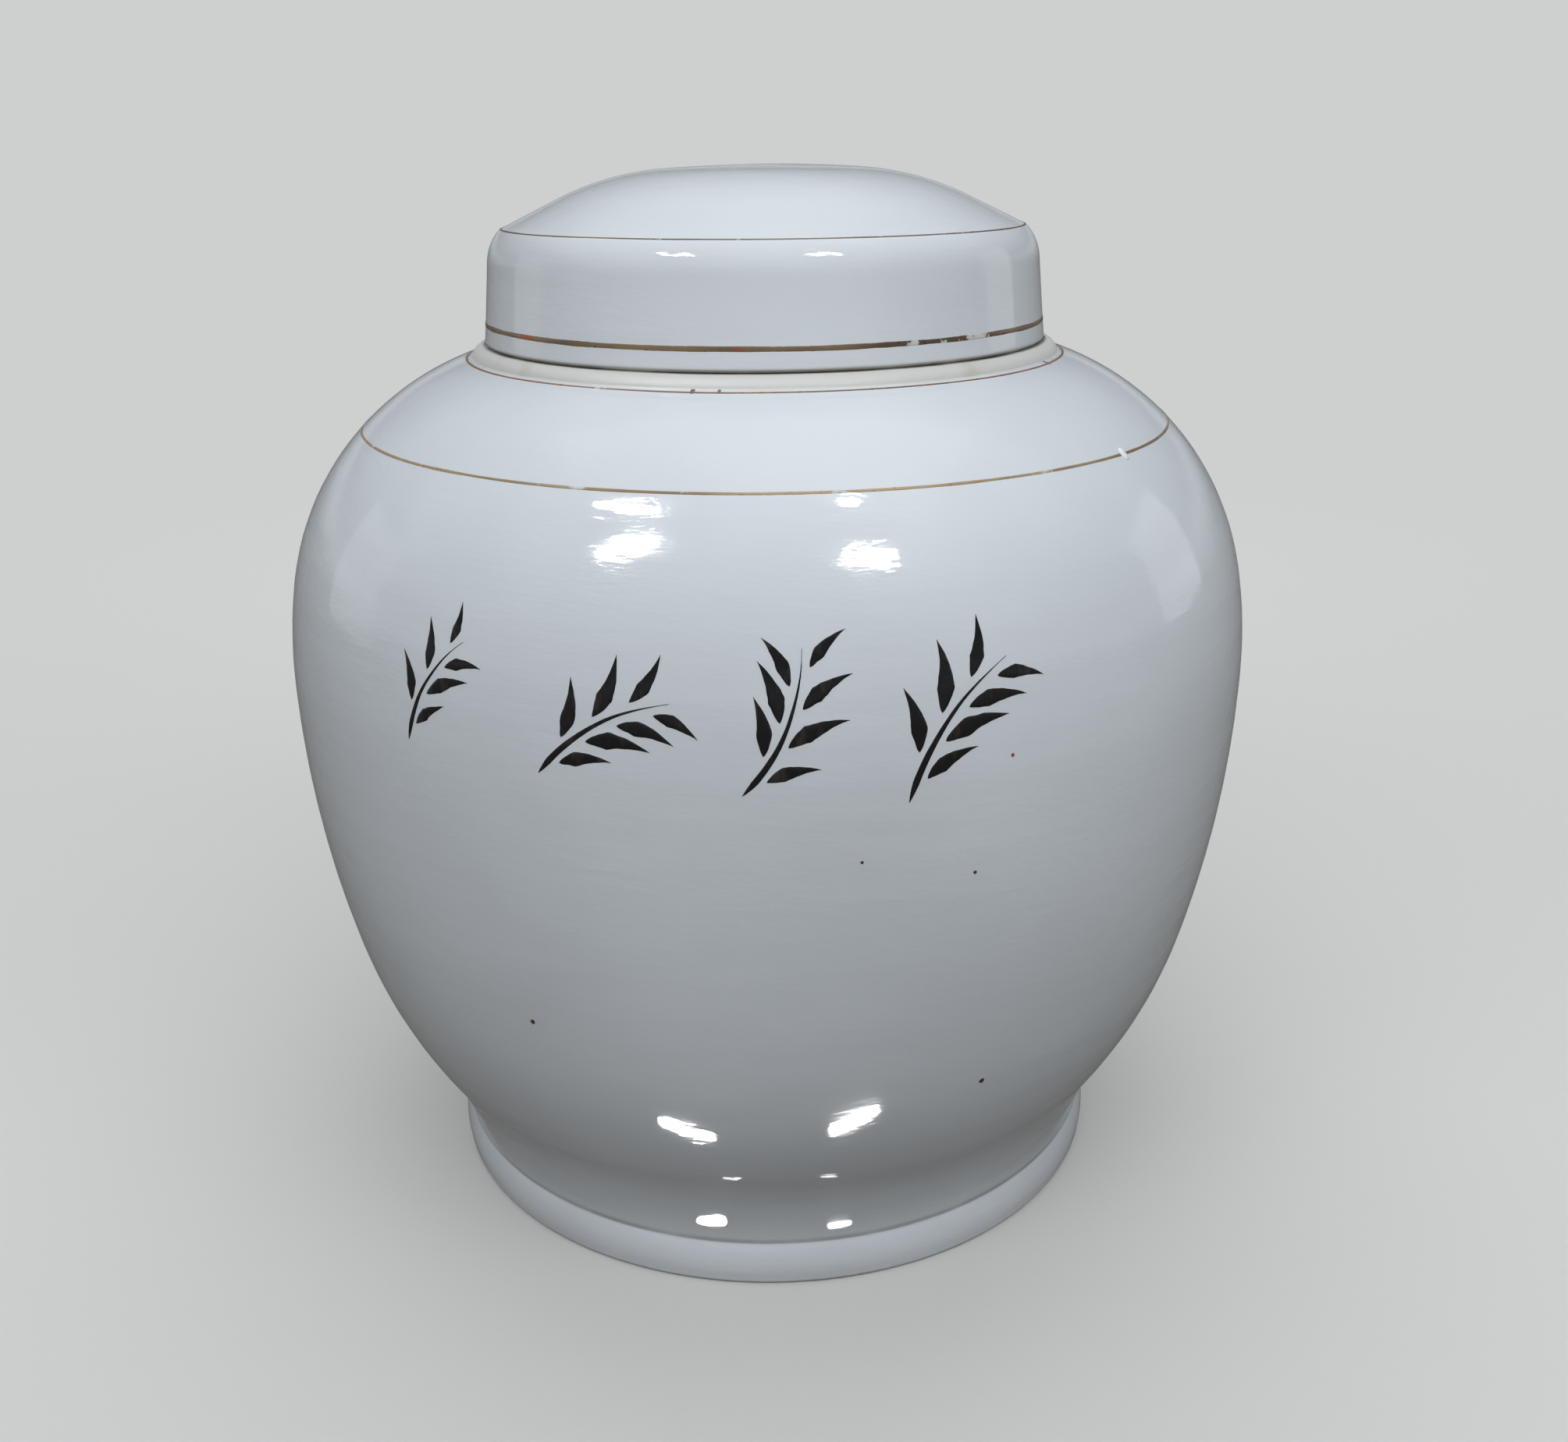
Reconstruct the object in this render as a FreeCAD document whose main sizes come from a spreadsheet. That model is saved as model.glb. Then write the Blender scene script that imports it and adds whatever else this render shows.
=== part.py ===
"""Porcelain ginger jar: a shouldered jar on a foot ring, closed by a loose cap lid.

Millimetres, +Z up. The origin is the centre of the foot ring's underside, and the painted
front faces -Y. The jar and the lid are the two fired pieces. The gilt lines and the painted
sprays are layers fired onto the glaze, kept as thin solids of their own so that each has its
own material.
"""
import FreeCAD, Part
import Sketcher
import math
import os
from FreeCAD import Placement, Rotation, Vector

SIZES = [
    # the jar's outer wall: arcs that run into each other, up and down from the widest place
    ("belly_radius", 102.7, "outer radius at the widest place"),
    ("belly_height", 117.5, "height of the widest place"),
    ("upper_belly_arc", 100.0, "radius of the arc above the widest place"),
    ("upper_belly_turn", 12.0, "how far that arc turns, degrees"),
    ("shoulder_arc", 57.0, "radius of the round shoulder"),
    ("lower_belly_arc", 237.0, "radius of the arc below the widest place"),
    ("lower_belly_turn", 14.0, "how far that arc turns, degrees"),
    ("taper_arc", 105.0, "radius of the arc that draws in towards the foot"),
    ("taper_turn", 18.5, "how far that arc turns, degrees"),
    ("foot_sweep_arc", 60.0, "radius of the hollow sweep above the foot ring"),
    ("wall", 4.6, "thickness of the jar's wall"),
    # foot
    ("foot_height", 9.5, "height of the foot ring"),
    ("foot_radius", 74.9, "outer radius of the foot ring at the table"),
    ("foot_face_arc", 14.0, "radius of the foot ring's bulging face"),
    ("recess_radius", 67.0, "radius of the recess under the base"),
    ("recess_depth", 6.0, "depth of the recess under the base"),
    ("recess_draft", 1.5, "how much the recess narrows upwards"),
    ("recess_round", 2.0, "rounding inside the recess"),
    ("foot_round", 1.1, "rounding of the foot ring's two lower edges"),
    ("floor_height", 11.5, "height of the floor inside the jar"),
    ("floor_round", 12.0, "rounding between the floor and the wall inside"),
    # neck and the ledge that the lid stands on
    ("ledge_height", 183.4, "height of the ledge that the lid stands on"),
    ("ledge_radius", 58.2, "outer radius of the ledge's flat"),
    ("ledge_round", 3.0, "rounding of the ledge's outer edge"),
    ("neck_radius", 52.7, "outer radius of the neck"),
    ("neck_height", 198.0, "height of the lip"),
    ("bore_radius", 48.0, "radius of the mouth"),
    ("bore_round", 2.5, "rounding where the mouth opens into the belly"),
    ("lip_round", 2.1, "rounding of the lip"),
    ("root_round", 0.6, "rounding where the neck leaves the ledge"),
    # lid
    ("rim_radius", 58.3, "outer radius of the lid's rim"),
    ("skirt_lean", 5.4, "how far the lid's skirt leans in, degrees"),
    ("crown_edge_radius", 53.9, "radius of the edge between skirt and crown"),
    ("crown_edge_height", 205.8, "height of that edge"),
    ("crown_edge_arc", 10.0, "radius of the rounding below that edge"),
    ("crown_slope", 25.5, "slope of the crown's outer part, degrees"),
    ("crown_turn_arc", 60.0, "radius of the turn from slope to top"),
    ("crown_flat_radius", 20.0, "radius of the nearly flat top"),
    ("crown_top_arc", 333.0, "radius of the nearly flat top's arc"),
    ("lid_wall", 4.2, "thickness of the lid's crown"),
    ("lid_bore_radius", 53.6, "inner radius of the lid's skirt"),
    ("lid_corner_round", 4.0, "rounding between skirt and crown inside the lid"),
    ("rim_round", 0.9, "rounding of the rim's two edges"),
    # gilt lines and painted sprays
    ("layer", 0.2, "thickness of the gilt and of the painted sprays"),
    ("crown_line_width", 0.55, "width of the gilt line on the crown's edge"),
    ("skirt_line_width", 1.1, "width of the gilt line on the skirt"),
    ("skirt_line_rise", 3.8, "distance from the rim up to that line"),
    ("neck_line_width", 0.6, "width of the gilt line at the foot of the ledge"),
    ("neck_line_turn", 72.2, "place of that line on the shoulder's arc, degrees"),
    ("shoulder_line_width", 0.65, "width of the gilt line round the shoulder"),
    ("shoulder_line_turn", 46.1, "place of that line on the shoulder's arc, degrees"),
    ("painted_top", 156.0, "height that the painted band reaches"),
    ("stem_width", 0.042, "widest place of a stem, as a part of its length"),
    ("leaf_length", 0.43, "length of the longest leaf, as a part of its stem"),
    ("leaf_width", 0.26, "width of a leaf, as a part of its length"),
]
# Each spray: azimuth round the jar, height of the stem's foot, stem length, stem lean from the
# horizontal, bend of the stem (positive bends left), number of side leaves.
SPRAYS = [
    ("azimuth", "height", "length", "lean", "bend", "leaves"),
    (-38.4, 123.6, 22.5, 58.0, 0.10, 6),
    (-22.4, 122.6, 26.5, 31.0, 0.10, 7),
    (-2.6, 121.0, 26.0, 68.0, -0.10, 7),
    (13.0, 118.4, 29.0, 52.0, 0.10, 7),
]
LEAF_SPLAY = 41.0      # angle between a side leaf and its stem, degrees
LEAF_GAP = 0.035       # bare glaze between a leaf and its stem, as a part of the stem's length
PAINTED_SPAN = 44.0    # how far round the jar a spray's layer is made before it is cut out
MARGIN = 90.0          # half width of the cutter that clears the layer round the strokes


class Outline:
    """A sketch that is drawn edge by edge, with its dimensions bound to the sheet."""

    def __init__(self, sketch):
        self.sketch = sketch

    def value(self, expression):
        result = self.sketch.evalExpression(expression)
        return float(getattr(result, "Value", result))

    def line(self, start, end):
        return self.sketch.addGeometry(Part.LineSegment(start, end), False)

    def arc(self, centre, radius, first, last):
        """An arc that runs anticlockwise between two angles in degrees."""
        circle = Part.Circle(centre, Vector(0, 0, 1), radius)
        turned = Part.ArcOfCircle(circle, math.radians(first), math.radians(last))
        return self.sketch.addGeometry(turned, False)

    def tie(self, kind, *where):
        self.sketch.addConstraint(Sketcher.Constraint(kind, *where))

    def bind(self, kind, *where):
        """A dimension: the last argument is its expression on the sheet."""
        expression = where[-1]
        value = self.value(expression)
        if kind == "Angle":
            value = math.radians(value)
            expression = "(%s) * 1 deg" % expression
        index = self.sketch.addConstraint(Sketcher.Constraint(kind, *where[:-1], value))
        self.sketch.setExpression("Constraints[%d]" % index, expression)

    def chain(self, edges):
        """Straight edges through a list of points, joined end to start."""
        lines = [self.line(a, b) for a, b in zip(edges, edges[1:])]
        for first, second in zip(lines, lines[1:]):
            self.tie("Coincident", first, 2, second, 1)
        return lines

    def upright(self, *lines):
        for line in lines:
            self.tie("Vertical", line)

    def level(self, *lines):
        for line in lines:
            self.tie("Horizontal", line)


def point(x, y):
    return Vector(x, y, 0)


def polar(centre, radius, degrees):
    turn = math.radians(degrees)
    return centre + Vector(radius * math.cos(turn), radius * math.sin(turn), 0)


def make_sheet(doc):
    sheet = doc.addObject("Spreadsheet::Sheet", "Sizes")
    rows = list(SIZES)
    for number, spray in enumerate(SPRAYS[1:], start=1):
        for word, value in zip(SPRAYS[0], spray):
            rows.append(("spray_%s_%s" % ("abcd"[number - 1], word), value, "painted spray"))
    for row, (alias, value, note) in enumerate(rows, start=1):
        sheet.set("A%d" % row, note)
        sheet.set("B%d" % row, str(value))
        sheet.setAlias("B%d" % row, alias)
    doc.recompute()
    return sheet


def origin_feature(body, role):
    return next(item for item in body.Origin.OriginFeatures if item.Role == role)


def make_body(doc, name):
    body = doc.addObject("PartDesign::Body", name)
    body.Label = name
    body.AllowCompound = True
    return body


def make_outline(body, name, plane="XZ_Plane"):
    sketch = body.newObject("Sketcher::SketchObject", name)
    sketch.AttachmentSupport = [(origin_feature(body, plane), "")]
    sketch.MapMode = "FlatFace"
    return Outline(sketch)


def turn_about_axis(body, outline, kind, angle=360.0):
    """Revolution or Groove of an outline about the jar's axis."""
    feature = body.newObject("PartDesign::" + kind, outline.sketch.Name + "_" + kind.lower())
    feature.Profile = outline.sketch
    feature.ReferenceAxis = (origin_feature(body, "Z_Axis"), [""])
    feature.Angle = angle
    feature.Midplane = angle < 360.0
    return feature


def round_edges(doc, body, name, radius, places):
    """Fillet of the whole-circle edges at the given (radius, height) places."""
    doc.recompute()
    base = body.Tip
    names = []
    for number, edge in enumerate(base.Shape.Edges, start=1):
        if edge.Degenerated or not isinstance(edge.Curve, Part.Circle):
            continue
        curve = edge.Curve
        for at_radius, at_height in places:
            if abs(curve.Radius - at_radius) < 0.01 and abs(curve.Center.z - at_height) < 0.01:
                names.append("Edge%d" % number)
    if len(names) != len(places):
        raise ValueError("%s found %d of %d edges" % (name, len(names), len(places)))
    fillet = body.newObject("PartDesign::Fillet", name)
    fillet.Base = (base, names)
    fillet.setExpression("Radius", "Sizes." + radius)
    doc.recompute()
    return fillet


def wall_arcs(outline, inset):
    """The five tangent arcs of the jar's wall, `inset` (an expression) inside its outer face.

    Returns the lowest arc, whose end 2 is at the foot, and the highest, whose end 2 is at the
    neck, with the centres that their neighbours start from.
    """
    size = outline.value
    depth = size(inset)
    belly_turn, taper_turn = size("Sizes.lower_belly_turn"), size("Sizes.taper_turn")
    upper_turn = size("Sizes.upper_belly_turn")
    widest = point(size("Sizes.belly_radius") - depth, size("Sizes.belly_height"))

    belly_radius = size("Sizes.lower_belly_arc") - depth
    belly_centre = widest - point(belly_radius, 0)
    belly = outline.arc(belly_centre, belly_radius, -belly_turn, 0)

    taper_radius = size("Sizes.taper_arc") - depth
    taper_centre = polar(polar(belly_centre, belly_radius, -belly_turn),
                         -taper_radius, -belly_turn)
    lowest_turn = belly_turn + taper_turn
    taper = outline.arc(taper_centre, taper_radius, -lowest_turn, -belly_turn)

    sweep_radius = size("Sizes.foot_sweep_arc") + depth
    sweep_centre = polar(taper_centre, taper_radius + sweep_radius, -lowest_turn)
    foot_turn = math.degrees(math.asin((size("Sizes.foot_height") - sweep_centre.y)
                                       / sweep_radius))
    sweep = outline.arc(sweep_centre, sweep_radius, 180 - lowest_turn, 180 - foot_turn)

    upper_radius = size("Sizes.upper_belly_arc") - depth
    upper_centre = widest - point(upper_radius, 0)
    upper = outline.arc(upper_centre, upper_radius, 0, upper_turn)

    shoulder_radius = size("Sizes.shoulder_arc") - depth
    shoulder_centre = polar(upper_centre, upper_radius - shoulder_radius, upper_turn)
    shoulder = outline.arc(shoulder_centre, shoulder_radius, upper_turn, 75)

    outline.tie("Tangent", sweep, 1, taper, 1)
    outline.tie("Tangent", taper, 2, belly, 1)
    outline.tie("Tangent", belly, 2, upper, 1)
    outline.tie("Tangent", upper, 2, shoulder, 1)
    outline.tie("Horizontal", belly, 2, belly, 3)
    outline.bind("DistanceX", belly, 2, "Sizes.belly_radius - %s" % inset)
    outline.bind("DistanceY", belly, 2, "Sizes.belly_height")
    outline.bind("Radius", belly, "Sizes.lower_belly_arc - %s" % inset)
    outline.bind("Angle", belly, "Sizes.lower_belly_turn")
    outline.bind("Radius", taper, "Sizes.taper_arc - %s" % inset)
    outline.bind("Angle", taper, "Sizes.taper_turn")
    outline.bind("Radius", sweep, "Sizes.foot_sweep_arc + %s" % inset)
    outline.bind("Radius", upper, "Sizes.upper_belly_arc - %s" % inset)
    outline.bind("Angle", upper, "Sizes.upper_belly_turn")
    outline.bind("Radius", shoulder, "Sizes.shoulder_arc - %s" % inset)
    return sweep, shoulder, sweep_centre, shoulder_centre


def shoulder_centre_expressions():
    """Where the shoulder's arc has its centre: radius and height, as expressions."""
    reach = "(Sizes.upper_belly_arc - Sizes.shoulder_arc)"
    turn = "(Sizes.upper_belly_turn * 1 deg)"
    across = "Sizes.belly_radius - Sizes.upper_belly_arc + %s * cos(%s)" % (reach, turn)
    up = "Sizes.belly_height + %s * sin(%s)" % (reach, turn)
    return across, up


def jar_outside(body):
    """The jar's outer face, from the axis under the foot to the axis at the lip."""
    outline = make_outline(body, "jar_outside")
    size = outline.value
    sweep, shoulder, sweep_centre, _ = wall_arcs(outline, "0")
    foot_radius, foot_height = size("Sizes.foot_radius"), size("Sizes.foot_height")
    ledge_height, lip = size("Sizes.ledge_height"), size("Sizes.neck_height")

    crease_turn = math.asin((foot_height - sweep_centre.y) / size("Sizes.foot_sweep_arc"))
    crease = point(sweep_centre.x - size("Sizes.foot_sweep_arc") * math.cos(crease_turn),
                   foot_height)
    foot = point(foot_radius, 0)
    middle = (foot + crease) * 0.5
    chord = crease - foot
    face_arc = size("Sizes.foot_face_arc")
    away = math.sqrt(face_arc ** 2 - (chord.Length / 2) ** 2)
    inward = point(-chord.y, chord.x).normalize()
    centre = middle + inward * away
    first = math.degrees(math.atan2(foot.y - centre.y, foot.x - centre.x))
    last = math.degrees(math.atan2(crease.y - centre.y, crease.x - centre.x))
    face = outline.arc(centre, face_arc, first, last)

    ledge_round = size("Sizes.ledge_round")
    step_centre = point(size("Sizes.ledge_radius"), ledge_height - ledge_round)
    step = outline.arc(step_centre, ledge_round, 20, 90)

    ledge, neck, mouth, axis, base = outline.chain([
        point(size("Sizes.ledge_radius"), ledge_height),
        point(size("Sizes.neck_radius"), ledge_height),
        point(size("Sizes.neck_radius"), lip),
        point(0, lip), point(0, 0), foot])
    outline.tie("Coincident", base, 2, face, 1)
    outline.tie("Coincident", face, 2, sweep, 2)
    outline.tie("Coincident", shoulder, 2, step, 1)
    outline.tie("Tangent", step, 2, ledge, 1)
    outline.level(ledge, mouth, base)
    outline.upright(neck, axis)
    outline.tie("PointOnObject", axis, 2, -1)
    outline.tie("PointOnObject", axis, 2, -2)
    outline.bind("DistanceX", base, 2, "Sizes.foot_radius")
    outline.bind("Radius", face, "Sizes.foot_face_arc")
    outline.bind("DistanceY", face, 2, "Sizes.foot_height")
    outline.bind("DistanceX", ledge, 1, "Sizes.ledge_radius")
    outline.bind("DistanceY", ledge, 1, "Sizes.ledge_height")
    outline.bind("Radius", step, "Sizes.ledge_round")
    outline.bind("DistanceX", neck, 1, "Sizes.neck_radius")
    outline.bind("DistanceY", neck, 2, "Sizes.neck_height")
    return outline


def jar_inside(body):
    """The space inside the jar, from its floor to the open mouth."""
    outline = make_outline(body, "jar_inside")
    size = outline.value
    sweep, shoulder, sweep_centre, shoulder_centre = wall_arcs(outline, "Sizes.wall")
    floor, floor_round = size("Sizes.floor_height"), size("Sizes.floor_round")
    sweep_radius = size("Sizes.foot_sweep_arc + Sizes.wall")
    rise = sweep_centre.y - floor - floor_round
    reach = math.sqrt((sweep_radius + floor_round) ** 2 - rise ** 2)
    corner_centre = point(sweep_centre.x - reach, floor + floor_round)
    corner_turn = math.degrees(math.atan2(rise, reach))
    corner = outline.arc(corner_centre, floor_round, -90, corner_turn)

    bore, bore_round = size("Sizes.bore_radius"), size("Sizes.bore_round")
    shoulder_radius = size("Sizes.shoulder_arc - Sizes.wall")
    across = bore + bore_round - shoulder_centre.x
    up = math.sqrt((shoulder_radius + bore_round) ** 2 - across ** 2)
    throat_centre = shoulder_centre + point(across, up)
    throat_turn = math.degrees(math.atan2(up, across))
    throat = outline.arc(throat_centre, bore_round, 180, 180 + throat_turn)

    lip = size("Sizes.neck_height")
    side, mouth, axis, base = outline.chain([
        point(bore, throat_centre.y), point(bore, lip), point(0, lip), point(0, floor),
        point(corner_centre.x, floor)])
    outline.tie("Tangent", base, 2, corner, 1)
    outline.tie("Tangent", corner, 2, sweep, 2)
    outline.tie("Tangent", shoulder, 2, throat, 2)
    outline.tie("Tangent", throat, 1, side, 1)
    outline.level(mouth, base)
    outline.upright(side, axis)
    outline.tie("PointOnObject", axis, 1, -2)
    outline.bind("Radius", corner, "Sizes.floor_round")
    outline.bind("Radius", throat, "Sizes.bore_round")
    outline.bind("DistanceX", side, 2, "Sizes.bore_radius")
    outline.bind("DistanceY", side, 2, "Sizes.neck_height")
    outline.bind("DistanceY", axis, 2, "Sizes.floor_height")
    return outline


def foot_recess(body):
    """The hollow under the base, inside the foot ring."""
    outline = make_outline(body, "foot_recess")
    size = outline.value
    radius, depth = size("Sizes.recess_radius"), size("Sizes.recess_depth")
    top = radius - size("Sizes.recess_draft")
    base, side, ceiling, axis = outline.chain([
        point(0, 0), point(radius, 0), point(top, depth), point(0, depth), point(0, 0)])
    outline.tie("Coincident", axis, 2, base, 1)
    outline.tie("PointOnObject", base, 1, -1)
    outline.level(base, ceiling)
    outline.upright(axis)
    outline.tie("PointOnObject", base, 1, -2)
    outline.bind("DistanceX", base, 2, "Sizes.recess_radius")
    outline.bind("DistanceX", side, 2, "Sizes.recess_radius - Sizes.recess_draft")
    outline.bind("DistanceY", side, 2, "Sizes.recess_depth")
    return outline


def make_jar(doc):
    body = make_body(doc, "jar_body")
    turn_about_axis(body, jar_outside(body), "Revolution")
    turn_about_axis(body, jar_inside(body), "Groove")
    turn_about_axis(body, foot_recess(body), "Groove")
    doc.recompute()
    size = body.evalExpression
    lip = size("Sizes.neck_height")
    round_edges(doc, body, "lip_rounding", "lip_round",
                [(size("Sizes.neck_radius"), lip), (size("Sizes.bore_radius"), lip)])
    round_edges(doc, body, "foot_rounding", "foot_round",
                [(size("Sizes.foot_radius"), 0), (size("Sizes.recess_radius"), 0)])
    round_edges(doc, body, "recess_rounding", "recess_round",
                [(size("Sizes.recess_radius - Sizes.recess_draft"),
                  size("Sizes.recess_depth"))])
    round_edges(doc, body, "neck_root", "root_round",
                [(size("Sizes.neck_radius"), size("Sizes.ledge_height"))])
    return body


def crown_arcs(outline, inset):
    """The lid's crown, `inset` (an expression) inside its outer face: slope, turn and top.

    The slope is a line whose start is left free; the top arc ends on the axis.
    """
    size = outline.value
    depth = size(inset)
    slope = size("Sizes.crown_slope")
    top_radius = size("Sizes.crown_top_arc") - depth
    turn_radius = size("Sizes.crown_turn_arc") - depth
    flat_turn = math.degrees(math.asin(size("Sizes.crown_flat_radius / Sizes.crown_top_arc")))
    edge = point(size("Sizes.crown_edge_radius"), size("Sizes.crown_edge_height"))
    start = polar(edge, -depth, 90 - slope)
    across = ((top_radius - turn_radius) * math.sin(math.radians(flat_turn))
              + turn_radius * math.sin(math.radians(slope)))
    run = (start.x - across) / math.cos(math.radians(slope))
    meet = polar(start, run, 180 - slope)
    turn_centre = polar(meet, -turn_radius, 90 - slope)
    top_centre = polar(turn_centre, turn_radius - top_radius, 90 - flat_turn)
    side = outline.line(start, meet)
    turn = outline.arc(turn_centre, turn_radius, 90 - slope, 90 - flat_turn)
    top = outline.arc(top_centre, top_radius, 90 - flat_turn, 90)
    outline.tie("Tangent", side, 2, turn, 1)
    outline.tie("Tangent", turn, 2, top, 1)
    outline.tie("PointOnObject", top, 3, -2)
    outline.tie("PointOnObject", top, 2, -2)
    outline.bind("Angle", side, "180 - Sizes.crown_slope")
    outline.bind("Radius", turn, "Sizes.crown_turn_arc - %s" % inset)
    outline.bind("Radius", top, "Sizes.crown_top_arc - %s" % inset)
    outline.bind("Angle", top, "asin(Sizes.crown_flat_radius / Sizes.crown_top_arc) / 1 deg")
    return side, top, start, top_centre + point(0, top_radius)


def lid_outside(body):
    outline = make_outline(body, "lid_outside")
    size = outline.value
    side, top, edge, apex = crown_arcs(outline, "0")
    lean, seat = size("Sizes.skirt_lean"), size("Sizes.ledge_height")
    rim = point(size("Sizes.rim_radius"), seat)
    corner_radius = size("Sizes.crown_edge_arc")
    normal = polar(point(0, 0), 1, lean)
    inside = (rim - edge).dot(normal)
    last = lean + math.degrees(math.acos(1 - inside / corner_radius))
    corner_centre = polar(edge, -corner_radius, last)
    corner = outline.arc(corner_centre, corner_radius, lean, last)
    axis, base, skirt = outline.chain([
        apex, point(0, seat), rim, polar(corner_centre, corner_radius, lean)])
    outline.tie("Coincident", top, 2, axis, 1)
    outline.tie("Tangent", skirt, 2, corner, 1)
    outline.tie("Coincident", corner, 2, side, 1)
    outline.tie("PointOnObject", axis, 2, -2)
    outline.level(base)
    outline.bind("DistanceX", side, 1, "Sizes.crown_edge_radius")
    outline.bind("DistanceY", side, 1, "Sizes.crown_edge_height")
    outline.bind("Radius", corner, "Sizes.crown_edge_arc")
    outline.bind("Angle", skirt, "90 + Sizes.skirt_lean")
    outline.bind("DistanceX", skirt, 1, "Sizes.rim_radius")
    outline.bind("DistanceY", skirt, 1, "Sizes.ledge_height")
    return outline


def lid_inside(body):
    outline = make_outline(body, "lid_inside")
    size = outline.value
    side, top, start, apex = crown_arcs(outline, "Sizes.lid_wall")
    slope, seat = size("Sizes.crown_slope"), size("Sizes.ledge_height")
    bore, corner_radius = size("Sizes.lid_bore_radius"), size("Sizes.lid_corner_round")
    # the corner's centre stands its radius inside both the skirt and the sloping ceiling
    across = bore - corner_radius
    drop = corner_radius / math.cos(math.radians(slope))
    up = start.y + (start.x - across) * math.tan(math.radians(slope)) - drop
    corner = outline.arc(point(across, up), corner_radius, 0, 90 - slope)
    axis, base, skirt = outline.chain([
        apex, point(0, seat), point(bore, seat), point(bore, up)])
    outline.tie("Coincident", top, 2, axis, 1)
    outline.tie("Tangent", skirt, 2, corner, 1)
    outline.tie("Tangent", corner, 2, side, 1)
    outline.tie("PointOnObject", axis, 2, -2)
    outline.level(base)
    outline.upright(skirt)
    outline.bind("Radius", corner, "Sizes.lid_corner_round")
    outline.bind("DistanceX", skirt, 1, "Sizes.lid_bore_radius")
    outline.bind("DistanceY", skirt, 1, "Sizes.ledge_height")
    # the ceiling stands lid_wall inside the crown: measured at right angles to the slope
    edge_height = "Sizes.crown_edge_height - Sizes.lid_wall / cos(Sizes.crown_slope * 1 deg)"
    meet = ("%s + (Sizes.crown_edge_radius - Sizes.lid_bore_radius + Sizes.lid_corner_round"
            " - Sizes.lid_corner_round * sin(Sizes.crown_slope * 1 deg))"
            " * tan(Sizes.crown_slope * 1 deg)" % edge_height)
    outline.bind("DistanceY", side, 1, meet)
    return outline


def make_lid(doc):
    body = make_body(doc, "lid")
    turn_about_axis(body, lid_outside(body), "Revolution")
    turn_about_axis(body, lid_inside(body), "Groove")
    doc.recompute()
    size = body.evalExpression
    seat = size("Sizes.ledge_height")
    round_edges(doc, body, "rim_rounding", "rim_round",
                [(size("Sizes.rim_radius"), seat), (size("Sizes.lid_bore_radius"), seat)])
    return body


def place_outline(outline, across, up, turn):
    """Moves an outline's own zero to a place on the profile, its x axis turned outwards."""
    sketch = outline.sketch
    value = outline.value
    sketch.AttachmentOffset = Placement(
        point(value(across), value(up)), Rotation(Vector(0, 0, 1), value(turn)))
    sketch.setExpression("AttachmentOffset.Base.x", across)
    sketch.setExpression("AttachmentOffset.Base.y", up)
    sketch.setExpression("AttachmentOffset.Rotation.Angle", "(%s) * 1 deg" % turn)


def flat_gilt_line(doc, name, across, up, turn, rise, width):
    """A gilt line on a conical face: a thin strip standing on the face, turned about the axis."""
    body = make_body(doc, name)
    outline = make_outline(body, name + "_section")
    value = outline.value
    low, high, out = value(rise), value(rise) + value(width), value("Sizes.layer")
    base, side, top, face = outline.chain([
        point(0, low), point(out, low), point(out, high), point(0, high), point(0, low)])
    outline.tie("Coincident", face, 2, base, 1)
    outline.level(base, top)
    outline.upright(side, face)
    outline.tie("PointOnObject", base, 1, -2)
    outline.bind("Distance", base, "Sizes.layer")
    outline.bind("Distance", face, width)
    if low > 0:
        outline.bind("DistanceY", base, 1, rise)
    else:
        outline.tie("PointOnObject", base, 1, -1)
    place_outline(outline, across, up, turn)
    turn_about_axis(body, outline, "Revolution")
    return body


def round_gilt_line(doc, name, turn, width):
    """A gilt line on the round shoulder: its section follows the shoulder's own arc."""
    body = make_body(doc, name)
    outline = make_outline(body, name + "_section")
    value = outline.value
    inner, layer, half = value("Sizes.shoulder_arc"), value("Sizes.layer"), value(width) / 2
    outer = inner + layer
    inner_turn = math.degrees(math.asin(half / inner))
    outer_turn = math.degrees(math.asin(half / outer))
    face = outline.arc(point(0, 0), inner, -inner_turn, inner_turn)
    back = outline.arc(point(0, 0), outer, -outer_turn, outer_turn)
    low = outline.line(polar(point(0, 0), inner, -inner_turn),
                       polar(point(0, 0), outer, -outer_turn))
    high = outline.line(polar(point(0, 0), inner, inner_turn),
                        polar(point(0, 0), outer, outer_turn))
    outline.tie("Coincident", face, 3, -1, 1)
    outline.tie("Coincident", back, 3, -1, 1)
    outline.tie("Coincident", low, 1, face, 1)
    outline.tie("Coincident", low, 2, back, 1)
    outline.tie("Coincident", high, 1, face, 2)
    outline.tie("Coincident", high, 2, back, 2)
    outline.level(low, high)
    outline.tie("Symmetric", face, 1, face, 2, -1)
    outline.bind("Radius", face, "Sizes.shoulder_arc")
    outline.bind("Radius", back, "Sizes.shoulder_arc + Sizes.layer")
    outline.bind("DistanceY", face, 1, face, 2, width)
    across, up = shoulder_centre_expressions()
    place_outline(outline, across, up, turn)
    turn_about_axis(body, outline, "Revolution")
    return body


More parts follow.
